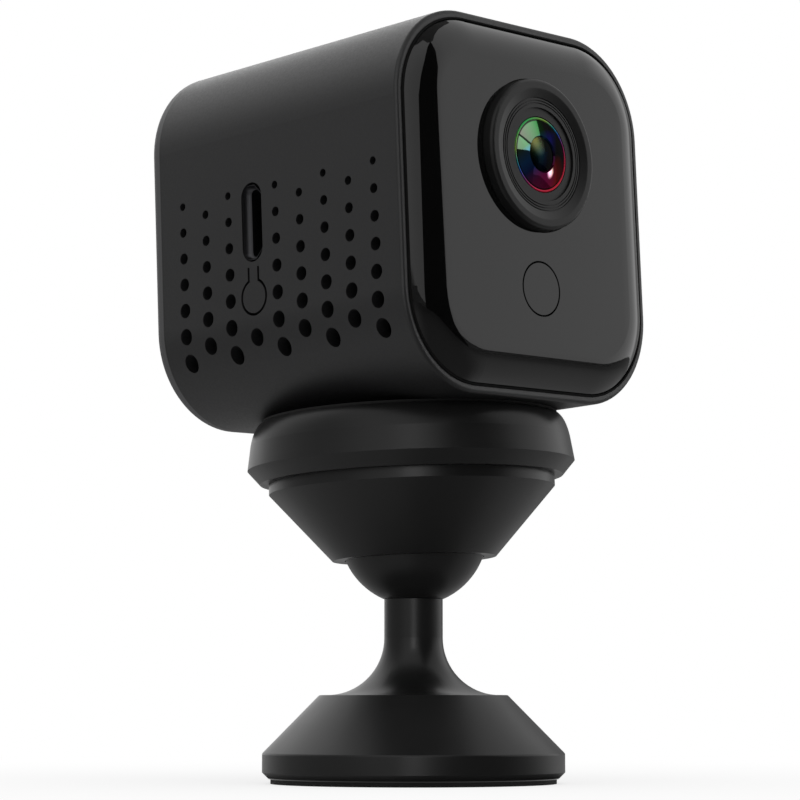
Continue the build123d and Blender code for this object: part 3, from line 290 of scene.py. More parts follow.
# A satin black: dark face on, pale where it turns away, and a little cloudier where it is handled
cloud = add_node(tree, "TexNoise", {"Vector": place, "Scale": 1 / 0.009, "Detail": 3.0})
haze = add_node(tree, "MapRange", {"Value": cloud, "From Min": 0.3, "From Max": 0.7,
                                   "To Min": 0.30, "To Max": 0.37})
tone = add_node(tree, "Mix", {0: cloud, 6: "#111111", 7: "#161616"}, data_type="RGBA")
skin = add_node(tree, "TexNoise", {"Vector": place, "Scale": 1 / 0.00025})
grain = add_node(tree, "Bump", {"Height": skin, "Strength": 0.12, "Distance": 0.00001})
wire(shader, {"Base Color": tone, "Roughness": haze, "Normal": grain, "Specular IOR Level": 0.27})
dress(stand_plastic, "base_shell", "ball", "socket_cup", "mount_disc")


# -------- ballast and screws
# A zinc casting fills the foot and keeps the stand upright. Plated steel screws hold the ball to its
# post, the cup to the disc and the main board to the shell.
cast_zinc, tree, shader, place = start_finish("tumbled_cast_zinc")
# Tumbling leaves a grey, pebbled face with small brighter rubs
pebble = add_node(tree, "TexVoronoi", {"Vector": place, "Scale": 1 / 0.0009})
patch = add_node(tree, "TexNoise", {"Vector": place, "Scale": 1 / 0.003, "Detail": 4.0})
tone = add_node(tree, "Mix", {0: patch, 6: "#6f7376", 7: "#9a9da0"}, data_type="RGBA")
dents = add_node(tree, "Bump", {"Height": pebble, "Strength": 0.4, "Distance": 0.00008})
rubs = add_node(tree, "MapRange", {"Value": patch, "To Min": 0.6, "To Max": 0.4})
wire(shader, {"Base Color": tone, "Roughness": rubs, "Normal": dents, "Metallic": 1.0})
dress(cast_zinc, "base_weight")

plated_steel, tree, shader, place = start_finish("zinc_plated_steel")
# Bright plating with the faint straw and blue of its passivation
film = add_node(tree, "TexNoise", {"Vector": place, "Scale": 1 / 0.002})
tone = add_node(tree, "Mix", {0: film, 6: "#b9b39c", 7: "#a8b2bd"}, data_type="RGBA")
lay = add_node(tree, "TexNoise", {"Vector": place, "Scale": 1 / 0.0002})
scuff = add_node(tree, "Bump", {"Height": lay, "Strength": 0.15, "Distance": 0.00002})
wire(shader, {"Base Color": tone, "Normal": scuff, "Metallic": 1.0, "Roughness": 0.32})
dress(plated_steel, "ball_screw", "disc_screws", "board_screws", "steel_plate")


# -------- socket seat
# A natural nylon ring that grips the ball and lets it turn without a squeak. Moulded, waxy and a little
# see-through at its thin edges.
seat_nylon, tree, shader, place = start_finish("natural_moulded_nylon")
# Milky and slightly uneven, with a waxy shine
milk = add_node(tree, "TexNoise", {"Vector": place, "Scale": 1 / 0.004, "Detail": 3.0})
tone = add_node(tree, "Mix", {0: milk, 6: "#d6d2c2", 7: "#e9e6dc"}, data_type="RGBA")
wax = add_node(tree, "Bump", {"Height": milk, "Strength": 0.2, "Distance": 0.00005})
wire(shader, {"Base Color": tone, "Normal": wax, "Roughness": 0.38,
              "Subsurface Weight": 0.15, "Subsurface Radius": (0.0012, 0.001, 0.0008)})
dress(seat_nylon, "socket_seat")


# -------- disc magnet
# A sintered magnet let into the mount disc, nickel plated against rust. The plating is bright over the
# pressed blank's fine pitting.
nickel, tree, shader, place = start_finish("nickel_plated_magnet")
# Warm mirror with a slight orange peel
pits = add_node(tree, "TexNoise", {"Vector": place, "Scale": 1 / 0.0006, "Detail": 4.0})
tone = add_node(tree, "Mix", {0: pits, 6: "#b5ada0", 7: "#cdc7bb"}, data_type="RGBA")
peel = add_node(tree, "Bump", {"Height": pits, "Strength": 0.2, "Distance": 0.00003})
wire(shader, {"Base Color": tone, "Normal": peel, "Metallic": 1.0, "Roughness": 0.2})
dress(nickel, "disc_magnet")


# -------- mount pad
# A thin ring of soft elastomer on top of the disc, which the camera's flat underside sits on without
# sliding. It is die-cut from calendered sheet and glued down.
pad_elastomer, tree, shader, place = start_finish("die_cut_elastomer")
# Dead matt, with the cloth print of the sheet it was cut from
weave = add_node(tree, "TexWave", {"Vector": place, "Scale": 1 / 0.004, "Distortion": 0.6, "Detail": 1.0},
                 bands_direction="DIAGONAL")
blotch = add_node(tree, "TexNoise", {"Vector": place, "Scale": 1 / 0.005})
tone = add_node(tree, "Mix", {0: blotch, 6: "#0b0b0b", 7: "#161616"}, data_type="RGBA")
cloth_print = add_node(tree, "Bump", {"Height": weave.outputs["Fac"], "Strength": 0.2, "Distance": 0.00003})
wire(shader, {"Base Color": tone, "Normal": cloth_print, "Roughness": 0.75, "Specular IOR Level": 0.3})
dress(pad_elastomer, "mount_pad")


# -------- body shell, rear cover and reset tongue
# The case is two ABS mouldings, a square tube with its round vents and a cover that shuts the back. A
# spark-eroded mould gives both the same fine matt face. The reset tongue is sprung from the same wall.
joints = {joint["name"]: joint for joint in frame["record"]["behaviour"]["joints"]}
up = Vector(joints["camera_lift"]["axis"])
back = Vector(joints["button_press"]["axis"])
side = back.cross(up)


def along(name, axis):
    """Lowest and highest reach of a CAD node along an axis, in metres."""
    reaches = [corner.co.dot(axis) for corner in nodes[name].data.vertices]
    return min(reaches), max(reaches)


shell_abs, tree, shader, place = start_finish("spark_matt_moulded_abs")
# Matt and close-grained: the light lies on it in a broad soft sheen. The 0.12 mm grain is drawn at 0.25 mm
spark = add_node(tree, "TexNoise", {"Vector": place, "Scale": 1 / 0.00025, "Detail": 3.0, "Roughness": 0.6})
flow = add_node(tree, "TexNoise", {"Vector": place, "Scale": 1 / 0.012})
tone = add_node(tree, "Mix", {0: flow, 6: "#0f0f10", 7: "#141415"}, data_type="RGBA")
sheen = add_node(tree, "MapRange", {"Value": spark, "From Min": 0.3, "From Max": 0.7,
                                    "To Min": 0.44, "To Max": 0.54})
grain = add_node(tree, "Bump", {"Height": spark, "Strength": 0.22, "Distance": 0.00002})
# The tube's walls end in a painted highlight, a thin paler lip for the light its rear edge catches, with a
# fine dark parting line in front
lip_width, lip_fade, line_half_width, line_fade = 0.0016, 0.00015, 0.00004, 0.00006
lip_start = along("body_shell", back)[1] - lip_width
line_middle = lip_start - 0.00005
depth = add_node(tree, "VectorMath", {0: place, 1: back}, operation="DOT_PRODUCT")
turned_out = add_node(tree, "NewGeometry").outputs["Normal"]
facing = add_node(tree, "VectorMath", {0: turned_out, 1: back}, operation="DOT_PRODUCT")
wall = add_node(tree, "MapRange", {"Value": facing, "From Min": 0.5, "From Max": 0.8,
                                   "To Min": 1.0, "To Max": 0.0})
lip_highlight = add_node(tree, "MapRange", {"Value": depth, "From Min": lip_start, "From Max": lip_start + lip_fade})
lip_highlight = add_node(tree, "Math", {0: lip_highlight, 1: wall}, operation="MULTIPLY")
# Painted highlight: the lip is coloured paler, as if lit
tone = add_node(tree, "Mix", {0: lip_highlight, 6: tone, 7: "#3e3e3f"}, data_type="RGBA")
line = add_node(tree, "Math", {0: depth, 1: line_middle}, operation="SUBTRACT")
line = add_node(tree, "Math", {0: line}, operation="ABSOLUTE")
line = add_node(tree, "MapRange", {"Value": line, "From Min": line_half_width,
                                   "From Max": line_half_width + line_fade, "To Min": 1.0, "To Max": 0.0})
tone = add_node(tree, "Mix", {0: line, 6: tone, 7: "#050505"}, data_type="RGBA")
wire(shader, {"Base Color": tone, "Roughness": sheen, "Normal": grain, "Specular IOR Level": 0.5})
dress(shell_abs, "body_shell", "rear_cover", "reset_tongue")


# -------- battery
# A flat lithium pouch cell that keeps the camera going off its lead. It is wrapped in soft aluminium
# laminate, heat sealed round its rim and taped to the rear cover.
pouch_foil, tree, shader, place = start_finish("aluminium_laminate_pouch")
# Dull silver foil, lightly crinkled where it is drawn round the cell
crinkle = add_node(tree, "TexNoise", {"Vector": place, "Scale": 1 / 0.004, "Detail": 4.0, "Distortion": 1.2})
tone = add_node(tree, "Mix", {0: crinkle, 6: "#a9acb1", 7: "#d2d4d8"}, data_type="RGBA")
folds = add_node(tree, "Bump", {"Height": crinkle, "Strength": 0.5, "Distance": 0.0002})
wire(shader, {"Base Color": tone, "Normal": folds, "Metallic": 0.85, "Roughness": 0.38})
dress(pouch_foil, "battery")


# -------- circuit boards and aerial
# The main, front and sensor boards and the strip that carries the aerial are glass-epoxy, etched and
# lacquered with green solder mask. The copper tracks show through it as lighter lines.
solder_mask, tree, shader, place = start_finish("green_solder_mask_board")
# Glossy green lacquer that dips over the tracks, which run in square steps about 1.4 mm apart
tracks = add_node(tree, "TexVoronoi", {"Vector": place, "Scale": 1 / 0.0014, "Randomness": 0.35},
                  distance="CHEBYCHEV", feature="F2")
lines = add_node(tree, "MapRange", {"Value": tracks, "From Min": 0.58, "From Max": 0.64})
tone = add_node(tree, "Mix", {0: lines, 6: "#0d3b20", 7: "#1f6a3a"}, data_type="RGBA")
relief = add_node(tree, "Bump", {"Height": lines, "Strength": 0.3, "Distance": 0.00004})
wire(shader, {"Base Color": tone, "Normal": relief, "Roughness": 0.28})
dress(solder_mask, "main_board", "front_board", "sensor_board", "wifi_antenna")


# -------- moulded parts on the boards
# The processor and the reset switch sit flat on the main board, soldered by their feet. Both are cast in
# black epoxy filled with fine silica.
chip_epoxy, tree, shader, place = start_finish("cast_black_epoxy")
# Dark grey and dull, with the fine sand of its filler
sand = add_node(tree, "TexNoise", {"Vector": place, "Scale": 1 / 0.00015})
tone = add_node(tree, "Mix", {0: sand, 6: "#141416", 7: "#202024"}, data_type="RGBA")
pitting = add_node(tree, "Bump", {"Height": sand, "Strength": 0.25, "Distance": 0.00002})
wire(shader, {"Base Color": tone, "Normal": pitting, "Roughness": 0.6})
dress(chip_epoxy, "processor", "reset_switch")


# -------- pressed metal parts on the boards
# The card socket's cover, the microphone's can and the button switch's frame are thin steel, stamped and
# folded from tinned strip and soldered to their boards.
tinned_strip, tree, shader, place = start_finish("tinned_pressed_strip")
# Pale and drawn out along the strip, duller than polished steel
draw = add_node(tree, "Mapping", {"Vector": place, "Scale": (1 / 0.004, 1 / 0.004, 1 / 0.0002)})
streak = add_node(tree, "TexNoise", {"Vector": draw, "Scale": 1.0, "Detail": 3.0})
tone = add_node(tree, "Mix", {0: streak, 6: "#a6a6a4", 7: "#c9c9c6"}, data_type="RGBA")
scratch = add_node(tree, "Bump", {"Height": streak, "Strength": 0.2, "Distance": 0.00002})
wire(shader, {"Base Color": tone, "Normal": scratch, "Metallic": 1.0, "Roughness": 0.36})
dress(tinned_strip, "card_socket", "microphone", "button_switch")


# -------- flat cable
# A film cable joins the main and the front board. Its copper strips are laminated between two sheets of
# amber polyimide, so it bends like paper.
cable_film, tree, shader, place = start_finish("amber_polyimide_film")
# Deep amber with the copper shining through in stripes a millimetre wide
strips = add_node(tree, "TexWave", {"Vector": place, "Scale": 1 / 0.0063}, bands_direction="X")
tone = add_node(tree, "Mix", {0: strips.outputs["Fac"], 6: "#7a3c0e", 7: "#b5682a"}, data_type="RGBA")
ribs = add_node(tree, "Bump", {"Height": strips.outputs["Fac"], "Strength": 0.2, "Distance": 0.00003})
wire(shader, {"Base Color": tone, "Normal": ribs, "Roughness": 0.22})
dress(cable_film, "flat_cable")


# -------- speaker
# A round speaker in the right-hand side of the case, facing the vents there. Its moulded basket is closed
# by black acoustic cloth, glued on round the rim.
speaker_cloth, tree, shader, place = start_finish("black_acoustic_cloth")
# Dull cloth whose open weave shows as a fine net of pits, 0.3 mm from thread to thread
net = add_node(tree, "TexVoronoi", {"Vector": place, "Scale": 1 / 0.0003, "Randomness": 0.1})
tone = add_node(tree, "Mix", {0: net, 6: "#1d1d1d", 7: "#0a0a0a"}, data_type="RGBA")
pits = add_node(tree, "Bump", {"Height": net, "Strength": 0.6, "Distance": 0.00006}, invert=True)
wire(shader, {"Base Color": tone, "Normal": pits, "Roughness": 0.85})
dress(speaker_cloth, "speaker")


# -------- dust mesh
# A sheet of black woven mesh heat-staked inside the right-hand wall, across the vents there. It keeps
# dust off the speaker and stops the light from shining straight through the case.
def work(piece, kind, **settings):
    """Put a modifier with its settings on a piece and apply it."""
    step = piece.modifiers.new("step", kind)
    for name, value in settings.items():
        setattr(step, name, value)
    bpy.ops.object.modifier_apply(modifier=step.name)


def face_out():
    """Turn all the faces of the piece that is open in edit mode outwards, and go back to object mode."""
    bpy.ops.mesh.select_all(action="SELECT")
    bpy.ops.mesh.normals_make_consistent(inside=False)
    bpy.ops.object.mode_set(mode="OBJECT")


wall_thickness, corner_radius, mesh_thickness = 0.0016, 0.0086, 0.00004
front_end, rear_end = -0.0166, 0.0086
wall_inside = along("body_shell", side)[1] - wall_thickness
corner_side = wall_inside - corner_radius
corner_up = along("body_shell", up)[0] + wall_thickness + corner_radius
bend = corner_radius - mesh_thickness / 2
# Down the flat of the wall and round into the corner below it
outline = [(corner_side + bend, corner_up + height) for height in (0.0170, 0.0085, 0.0)]
outline += [(corner_side + bend * cos(radians(turn)), corner_up - bend * sin(radians(turn)))
            for turn in range(6, 67, 6)]
bpy.ops.object.select_all(action="DESELECT")
bpy.ops.mesh.primitive_grid_add(x_subdivisions=1, y_subdivisions=len(outline) - 1, size=1.0)
dust_mesh = bpy.context.object
dust_mesh.name = "dust_mesh"
for corner in dust_mesh.data.vertices:
    across, height = outline[round((corner.co.y + 0.5) * (len(outline) - 1))]
    corner.co = side * across + up * height + back * (rear_end if corner.co.x > 0 else front_end)
work(dust_mesh, "SOLIDIFY", thickness=mesh_thickness, offset=0.0)
bpy.ops.object.mode_set(mode="EDIT")
face_out()
bpy.ops.object.shade_smooth_by_angle(angle=radians(30))
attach(dust_mesh, "camera")
mesh_cloth, tree, shader, place = start_finish("black_woven_mesh")
# Black thread with a painted highlight, its crowns coloured paler as if catching a little light. The 0.1 mm
# weave is drawn at 0.4 mm
# A wave at a scale of 1 repeats every 0.314 m
threads = 0.314 / 0.0004
warp = add_node(tree, "TexWave", {"Vector": place, "Scale": threads}, bands_direction="Y")
weft = add_node(tree, "TexWave", {"Vector": place, "Scale": threads}, bands_direction="Z")
weave = add_node(tree, "Math", {0: warp.outputs["Fac"], 1: weft.outputs["Fac"]}, operation="MULTIPLY")
tone = add_node(tree, "Mix", {0: weave, 6: "#040404", 7: "#151515"}, data_type="RGBA")
thread = add_node(tree, "Bump", {"Height": weave, "Strength": 0.5, "Distance": 0.00005})
wire(shader, {"Base Color": tone, "Normal": thread, "Roughness": 0.85, "Specular IOR Level": 0.2})
dust_mesh.data.materials.append(mesh_cloth)


# -------- sensor, its standoffs and the lens holder
# The image sensor lies under its cover glass on a small board, which turned brass standoffs hold behind
# the front board. The holder and the barrel are moulded, and the barrel screws in to focus.
cover_glass, tree, shader, place = start_finish("sensor_under_cover_glass")
# Near black, with faint bands of purple and green under a hard clear gloss
field = add_node(tree, "TexNoise", {"Vector": place, "Scale": 1 / 0.004, "Detail": 1.0})
tone = add_node(tree, "Mix", {0: field, 6: "#1a1030", 7: "#0c2620"}, data_type="RGBA")
wire(shader, {"Base Color": tone, "Roughness": 0.06, "Coat Weight": 0.6})
dress(cover_glass, "image_sensor")

turned_brass, tree, shader, place = start_finish("turned_brass")
# Yellow and bright, ringed by the tool
rings = add_node(tree, "TexWave", {"Vector": place, "Scale": 1 / 0.0012, "Distortion": 0.3},
                 bands_direction="Y")
tone = add_node(tree, "Mix", {0: rings.outputs["Fac"], 6: "#b08a45", 7: "#cfae6a"}, data_type="RGBA")
feed = add_node(tree, "Bump", {"Height": rings.outputs["Fac"], "Strength": 0.15, "Distance": 0.00002})
wire(shader, {"Base Color": tone, "Normal": feed, "Metallic": 1.0, "Roughness": 0.28})
dress(turned_brass, "sensor_standoffs")

barrel_black, tree, shader, place = start_finish("threaded_black_barrel")
# Dead black inside and out against stray light, with the fine thread that focuses it
thread = add_node(tree, "TexWave", {"Vector": place, "Scale": 1 / 0.0022}, bands_direction="Y")
tone = add_node(tree, "Mix", {0: thread.outputs["Fac"], 6: "#050505", 7: "#0d0d0d"}, data_type="RGBA")
turns = add_node(tree, "Bump", {"Height": thread.outputs["Fac"], "Strength": 0.6, "Distance": 0.0001})
wire(shader, {"Base Color": tone, "Normal": turns, "Roughness": 0.6, "Specular IOR Level": 0.2})
dress(barrel_black, "lens_barrel", "lens_holder")


# -------- infrared lamps and light sensor
# Small lamps and one sensor behind the dark panel, soldered on the front board. They are cast in epoxy
# tinted to pass only what the eye doesn't see.
lamp_resin, tree, shader, place = start_finish("smoked_epoxy_resin")
# Smoky violet, clear and wet-looking
smoke = add_node(tree, "TexNoise", {"Vector": place, "Scale": 1 / 0.0015})
tone = add_node(tree, "Mix", {0: smoke, 6: "#120a16", 7: "#22142c"}, data_type="RGBA")
wire(shader, {"Base Color": tone, "Roughness": 0.08, "Coat Weight": 0.4})
dress(lamp_resin, "infrared_lamps", "light_sensor")


# -------- front panel and button
# The front is one slightly domed sheet of black acrylic, moulded, polished and glued into the shell's
# mouth. The round button is cut from the same sheet and moves in its own hole.
panel_acrylic, tree, shader, place = start_finish("polished_black_acrylic")
# Piano black: it shows the tent as a clear grey and the flag as pure black, over a barely waving surface
wave = add_node(tree, "TexNoise", {"Vector": place, "Scale": 1 / 0.011, "Detail": 1.0})
tone = add_node(tree, "Mix", {0: wave, 6: "#060606", 7: "#090909"}, data_type="RGBA")
ripple = add_node(tree, "Bump", {"Height": wave, "Strength": 0.04, "Distance": 0.0002})
# The moulded sheet falls away very gently along both sides before its rounded edge: over the last 4.8 mm
# it drops by twelve times the square of the way
panel_low, panel_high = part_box("front_panel")
middle, half_width = (panel_low[0] + panel_high[0]) / 2, (panel_high[0] - panel_low[0]) / 2
falling_edge, steepness = 0.0048, 12.0
axes = add_node(tree, "SeparateXYZ", {0: place})
outer = add_node(tree, "Math", {0: axes.outputs["X"], 1: middle}, operation="SUBTRACT")
outer = add_node(tree, "Math", {0: outer}, operation="ABSOLUTE")
outer = add_node(tree, "Math", {0: outer, 1: half_width - falling_edge}, operation="SUBTRACT")
outer = add_node(tree, "Math", {0: outer, 1: 0.0}, operation="MAXIMUM")
fall = add_node(tree, "Math", {0: outer, 1: 2.0}, operation="POWER")
fall = add_node(tree, "Math", {0: fall, 1: -steepness}, operation="MULTIPLY")
crown = add_node(tree, "Bump", {"Height": fall, "Strength": 1.0, "Distance": 1.0, "Normal": ripple})
# It has been wiped, which leaves the faintest unevenness in the gloss
dust = add_node(tree, "TexNoise", {"Vector": place, "Scale": 1 / 0.0004})
wipe = add_node(tree, "MapRange", {"Value": dust, "From Min": 0.4, "From Max": 0.8, "To Min": 0.035,
                                   "To Max": 0.07})
wire(shader, {"Base Color": tone, "Normal": crown, "Roughness": wipe, "IOR": 1.49})
dress(panel_acrylic, "front_panel", "front_button")


# -------- lens bezel
# A separate dished ring round the lens, moulded in black ABS and left satin, with three fine turned-looking
# grooves about the glass.
bezel_abs, tree, shader, place = start_finish("satin_moulded_abs")
# Softer than the panel, so the dish shades smoothly from dark to grey
skin = add_node(tree, "TexNoise", {"Vector": place, "Scale": 1 / 0.0002})
tone = add_node(tree, "Mix", {0: skin, 6: "#0c0c0c", 7: "#101010"}, data_type="RGBA")
grain = add_node(tree, "Bump", {"Height": skin, "Strength": 0.1, "Distance": 0.00001})
wire(shader, {"Base Color": tone, "Normal": grain, "Roughness": 0.42, "Specular IOR Level": 0.33})
dress(bezel_abs, "lens_bezel")


# -------- lens glass
# Two ground and polished elements behind each other, the front one with a bevelled rim. Their hard
# coating leaves hardly any reflection but a coloured one, green above and red below.
def turned(name, rings):
    """Round piece on the Z axis, drawn from ring to ring, each a radius and a height in mm."""
    bpy.ops.object.select_all(action="DESELECT")
    radius, height = rings[0]
    bpy.ops.mesh.primitive_circle_add(vertices=96, radius=radius / 1000, fill_type="NGON",
                                      location=(0, 0, height / 1000))
    piece = bpy.context.object
    piece.name = name
    bpy.ops.object.transform_apply()
    bpy.ops.object.mode_set(mode="EDIT")
    bpy.ops.mesh.select_all(action="SELECT")
    for next_radius, next_height in rings[1:]:
        step = (0, 0, (next_height - height) / 1000)
        bpy.ops.mesh.extrude_region_move(TRANSFORM_OT_translate={"value": step})
        grown = next_radius / radius
        bpy.ops.transform.resize(value=(grown, grown, 1), center_override=(0, 0, next_height / 1000))
        radius, height = next_radius, next_height
    face_out()
    bpy.ops.object.shade_smooth_by_angle(angle=radians(25))
    return piece


def settle(piece, place, outward, upward):
    """Turn a piece's Z to the way it faces and its Y upwards, set it in place and fix that in its mesh."""
    across = upward.cross(outward).normalized()
    turn = Matrix((across, outward.cross(across), outward)).transposed().to_4x4()
    bpy.ops.object.select_all(action="DESELECT")
    piece.select_set(True)
    bpy.context.view_layer.objects.active = piece
    piece.matrix_world = Matrix.Translation(place) @ turn
    bpy.ops.object.transform_apply(location=True, rotation=True, scale=True)


lens_low, lens_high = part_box("front_lens")
lens_centre = (Vector(lens_low) + Vector(lens_high)) / 2
# The sizes of the glasses are in mm. Seat and crown are how far the outer one reaches back and front
seat, crown = (1000 * (reach + lens_centre.dot(back)) for reach in along("front_lens", -back))


def cap(top, ball_radius, radii):
    """Rings of a dome of that radius whose middle is at the top, in mm."""
    return [(radius, top - ball_radius + (ball_radius ** 2 - radius ** 2) ** 0.5) for radius in radii]


lens_radius, dome_radius, recess_edge, recess, tip = 3.98, 16.1, 1.88, 0.14, 0.02
dome = cap(crown, dome_radius, (lens_radius, 3.6, 3.2, 2.8, 2.4, 1.98))
rim_height, edge_height = dome[0][1], dome[-1][1]
front_glass = turned("front_glass", [(lens_radius, seat)] + dome
                     + [(recess_edge, edge_height - recess), (tip, edge_height - recess)])
# The inner element fills the recess and rises to just under the outer one's crown
inner_edge, inner_top = 1.86, crown - 0.01
well = edge_height - recess + 0.001
rise = inner_top - well
inner_radius = (inner_edge ** 2 + rise ** 2) / (2 * rise)
centre_glass = turned("centre_glass", [(inner_edge, well)] + cap(
    inner_top, inner_radius, (1.85, 1.7, 1.5, 1.25, 1.0, 0.7, 0.4, 0.15, tip)))

# The ground bevel is a ring flattened on to the outer glass's edge
bevel_radius, bevel_width, flattening = 3.86, 0.15, 0.6
bpy.ops.object.select_all(action="DESELECT")
bpy.ops.mesh.primitive_torus_add(major_segments=96, minor_segments=16, major_radius=bevel_radius / 1000,
                                 minor_radius=bevel_width / 1000,
                                 location=(0, 0, (rim_height + 0.02) / 1000))
glass_rim = bpy.context.object
glass_rim.name = "glass_rim"
bpy.ops.object.transform_apply()
bpy.ops.object.mode_set(mode="EDIT")
bpy.ops.mesh.select_all(action="SELECT")
bpy.ops.transform.resize(value=(1, 1, flattening), center_override=(0, 0, rim_height / 1000))
face_out()
bpy.ops.object.shade_smooth()
for piece in (front_glass, centre_glass, glass_rim):
    settle(piece, lens_centre, -back, up)
    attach(piece, "camera")
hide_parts("front_lens")


def across_lens(tree, place, stops):
    """Colours laid from the lens's upper left to its lower right, as its coating shifts with the slant."""
    lean = (side * 0.6 - up * 0.8) / (lens_radius / 1000)
    fall = add_node(tree, "VectorMath", {0: place, 1: lean}, operation="DOT_PRODUCT")
    share = add_node(tree, "MapRange", {"Value": fall, "From Min": lens_centre.dot(lean) - 1,
                                        "From Max": lens_centre.dot(lean) + 1})
    ramp = add_node(tree, "ValToRGB", {"Fac": share})
    first, last = ramp.color_ramp.elements
    first.position, last.position = stops[0][0], stops[-1][0]
    first.color, last.color = hex_colour(stops[0][1]), hex_colour(stops[-1][1])
    for spot, code in stops[1:-1]:
        ramp.color_ramp.elements.new(spot).color = hex_colour(code)
    return ramp


def lens_coat(name, roughness, stops):
    """Hard coating over the dark inside of the lens, which returns only the colours given."""
    coat, tree, shader, place = start_finish(name)
    # The coating stops short of the rim, where a blackened ring holds the glass
    coated, blackened = 3.56, 3.64
    out = add_node(tree, "VectorMath", {0: place, 1: lens_centre}, operation="SUBTRACT")
    out = add_node(tree, "VectorMath", {0: out, 1: back}, operation="CROSS_PRODUCT")
    out = add_node(tree, "VectorMath", {0: out}, operation="LENGTH")
    held = add_node(tree, "MapRange", {"Value": out, "From Min": coated / 1000, "From Max": blackened / 1000})
    tone = add_node(tree, "Mix", {0: held, 6: across_lens(tree, place, stops),
                                  7: "#040404"}, data_type="RGBA")
    # Coated glass over a black barrel is a very weak coloured mirror, so it is drawn as a dark metal
    wire(shader, {"Base Color": tone, "Metallic": 1.0, "Roughness": roughness,
                  "Specular Tint": "#303030", "Coat Weight": 0.04})
    return coat


front_glass.data.materials.append(lens_coat("front_glass_coating", 0.03, (
    (0.0, "#1c2a1e"), (0.25, "#18241a"), (0.42, "#0a2440"), (0.55, "#0a1434"), (0.72, "#3c0c26"),
    (1.0, "#480e22"))))
# Seen through the front element, the inner one's reflections are blurred
centre_glass.data.materials.append(lens_coat("centre_glass_coating", 0.22, (
    (0.2, "#1e1c0c"), (0.4, "#0c120e"), (0.55, "#0a1620"), (0.75, "#0c0612"))))
dress(lens_coat("rear_glass_coating", 0.03, ((0.0, "#2a2450"), (0.5, "#141c40"), (1.0, "#301028"))),
      "rear_lens")

coated_rim, tree, shader, place = start_finish("coated_glass_bevel")
# The ground bevel gathers the coating's colours into a thin bright rainbow
rainbow = across_lens(tree, place, ((0.0, "#2b8a4a"), (0.2, "#6f8a34"), (0.33, "#1f7a74"), (0.47, "#1c3f94"),
                                    (0.62, "#6a1c54"), (0.8, "#a81c3c"), (1.0, "#a01c2c")))
wire(shader, {"Base Color": rainbow, "Metallic": 1.0, "Roughness": 0.22})
glass_rim.data.materials.append(coated_rim)


# -------- seam shade ring
# A thin ring of matt black in the seam round the panel, set flush against the shell's rim. It is painted
# shade, a dark piece for the shadow in the narrow gap, and draws the dark outline between the gloss and the
# matt.
bead_width, bead_height, bead_round = 0.00026, 0.0003, 0.0001
# How far it laps beyond the panel, is cut back at the corners and stands out from the rim
overlap, corner_cut, proud = 0.00018, 0.00943, 0.00003
front_face = along("body_shell", back)[0] - proud
panel_side, panel_up = along("front_panel", side), along("front_panel", up)
seam_middle = side * sum(panel_side) / 2 + up * sum(panel_up) / 2 + back * front_face
bpy.ops.object.select_all(action="DESELECT")
bpy.ops.mesh.primitive_plane_add(size=1.0)
seam_shade_ring = bpy.context.object
seam_shade_ring.name = "seam_shade_ring"
bpy.ops.object.mode_set(mode="EDIT")
bpy.ops.mesh.select_all(action="SELECT")
seam_width, seam_height = (high - low + 2 * overlap for low, high in (panel_side, panel_up))
bpy.ops.transform.resize(value=(seam_width, seam_height, 1), center_override=(0, 0, 0))
bpy.ops.mesh.bevel(offset=corner_cut, segments=20, affect="VERTICES")
bpy.ops.mesh.select_all(action="SELECT")
bpy.ops.mesh.inset(thickness=bead_width)
bpy.ops.mesh.delete(type="FACE")
bpy.ops.object.mode_set(mode="OBJECT")
work(seam_shade_ring, "SOLIDIFY", thickness=bead_height, offset=0.0)
work(seam_shade_ring, "BEVEL", width=bead_round, segments=3)
bpy.ops.object.shade_smooth()
settle(seam_shade_ring, seam_middle, -back, up)
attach(seam_shade_ring, "camera")
seam_shade_black, tree, shader, place = start_finish("matt_black_seam_shade")
# Near black as painted shade, with only a trace of dust on it
bloom = add_node(tree, "TexNoise", {"Vector": place, "Scale": 1 / 0.0012, "Detail": 3.0})
tone = add_node(tree, "Mix", {0: bloom, 6: "#060606", 7: "#0c0c0c"}, data_type="RGBA")
wire(shader, {"Base Color": tone, "Roughness": 0.75, "Specular IOR Level": 0.12})
seam_shade_ring.data.materials.append(seam_shade_black)


# -------- window lights
# The two panes of a window, its blurred likeness for the inner glass, a small frosted lamp and a faint
# softbox. Each is linked to one glass of the lens, so that nothing else shows them.
card_distance = 0.45


def seen_way(turn, lift):
    """Direction from the lens by its bearing to the right of straight ahead and its height, in degrees."""
    turn, lift = radians(turn), radians(lift)
    return Vector((sin(turn) * cos(lift), -cos(turn) * cos(lift), sin(lift)))


def lens_card(name, corners, glow):
    """Glowing card in front of the lens, cut to corners given by bearing and height."""
    ways = [seen_way(*corner) for corner in corners]
    middle = sum(ways, Vector()).normalized()
    across = middle.cross(Vector((0, 0, 1))).normalized()
    upward = across.cross(middle)
    reaches = [way * (card_distance / way.dot(middle)) for way in ways]
    card = cut_card(name, [(reach.dot(across), reach.dot(upward)) for reach in reaches], glow)
    card.matrix_world = (Matrix.Translation(lens_centre + middle * card_distance)
                         @ Matrix((across, upward, -middle)).transposed().to_4x4())
    return card


def glow_through(tree, colour, strength):
    """Glow without a surface of its own, so that whatever isn't lit by it sees straight past."""
    glow = add_node(tree, "Emission", {"Color": colour, "Strength": strength})
    clear = add_node(tree, "BsdfTransparent")
    both = add_node(tree, "AddShader", {0: glow, 1: clear})
    wire(tree.nodes["Material Output"], {"Surface": both})


daylight, tree, _, place = start_finish("window_daylight")
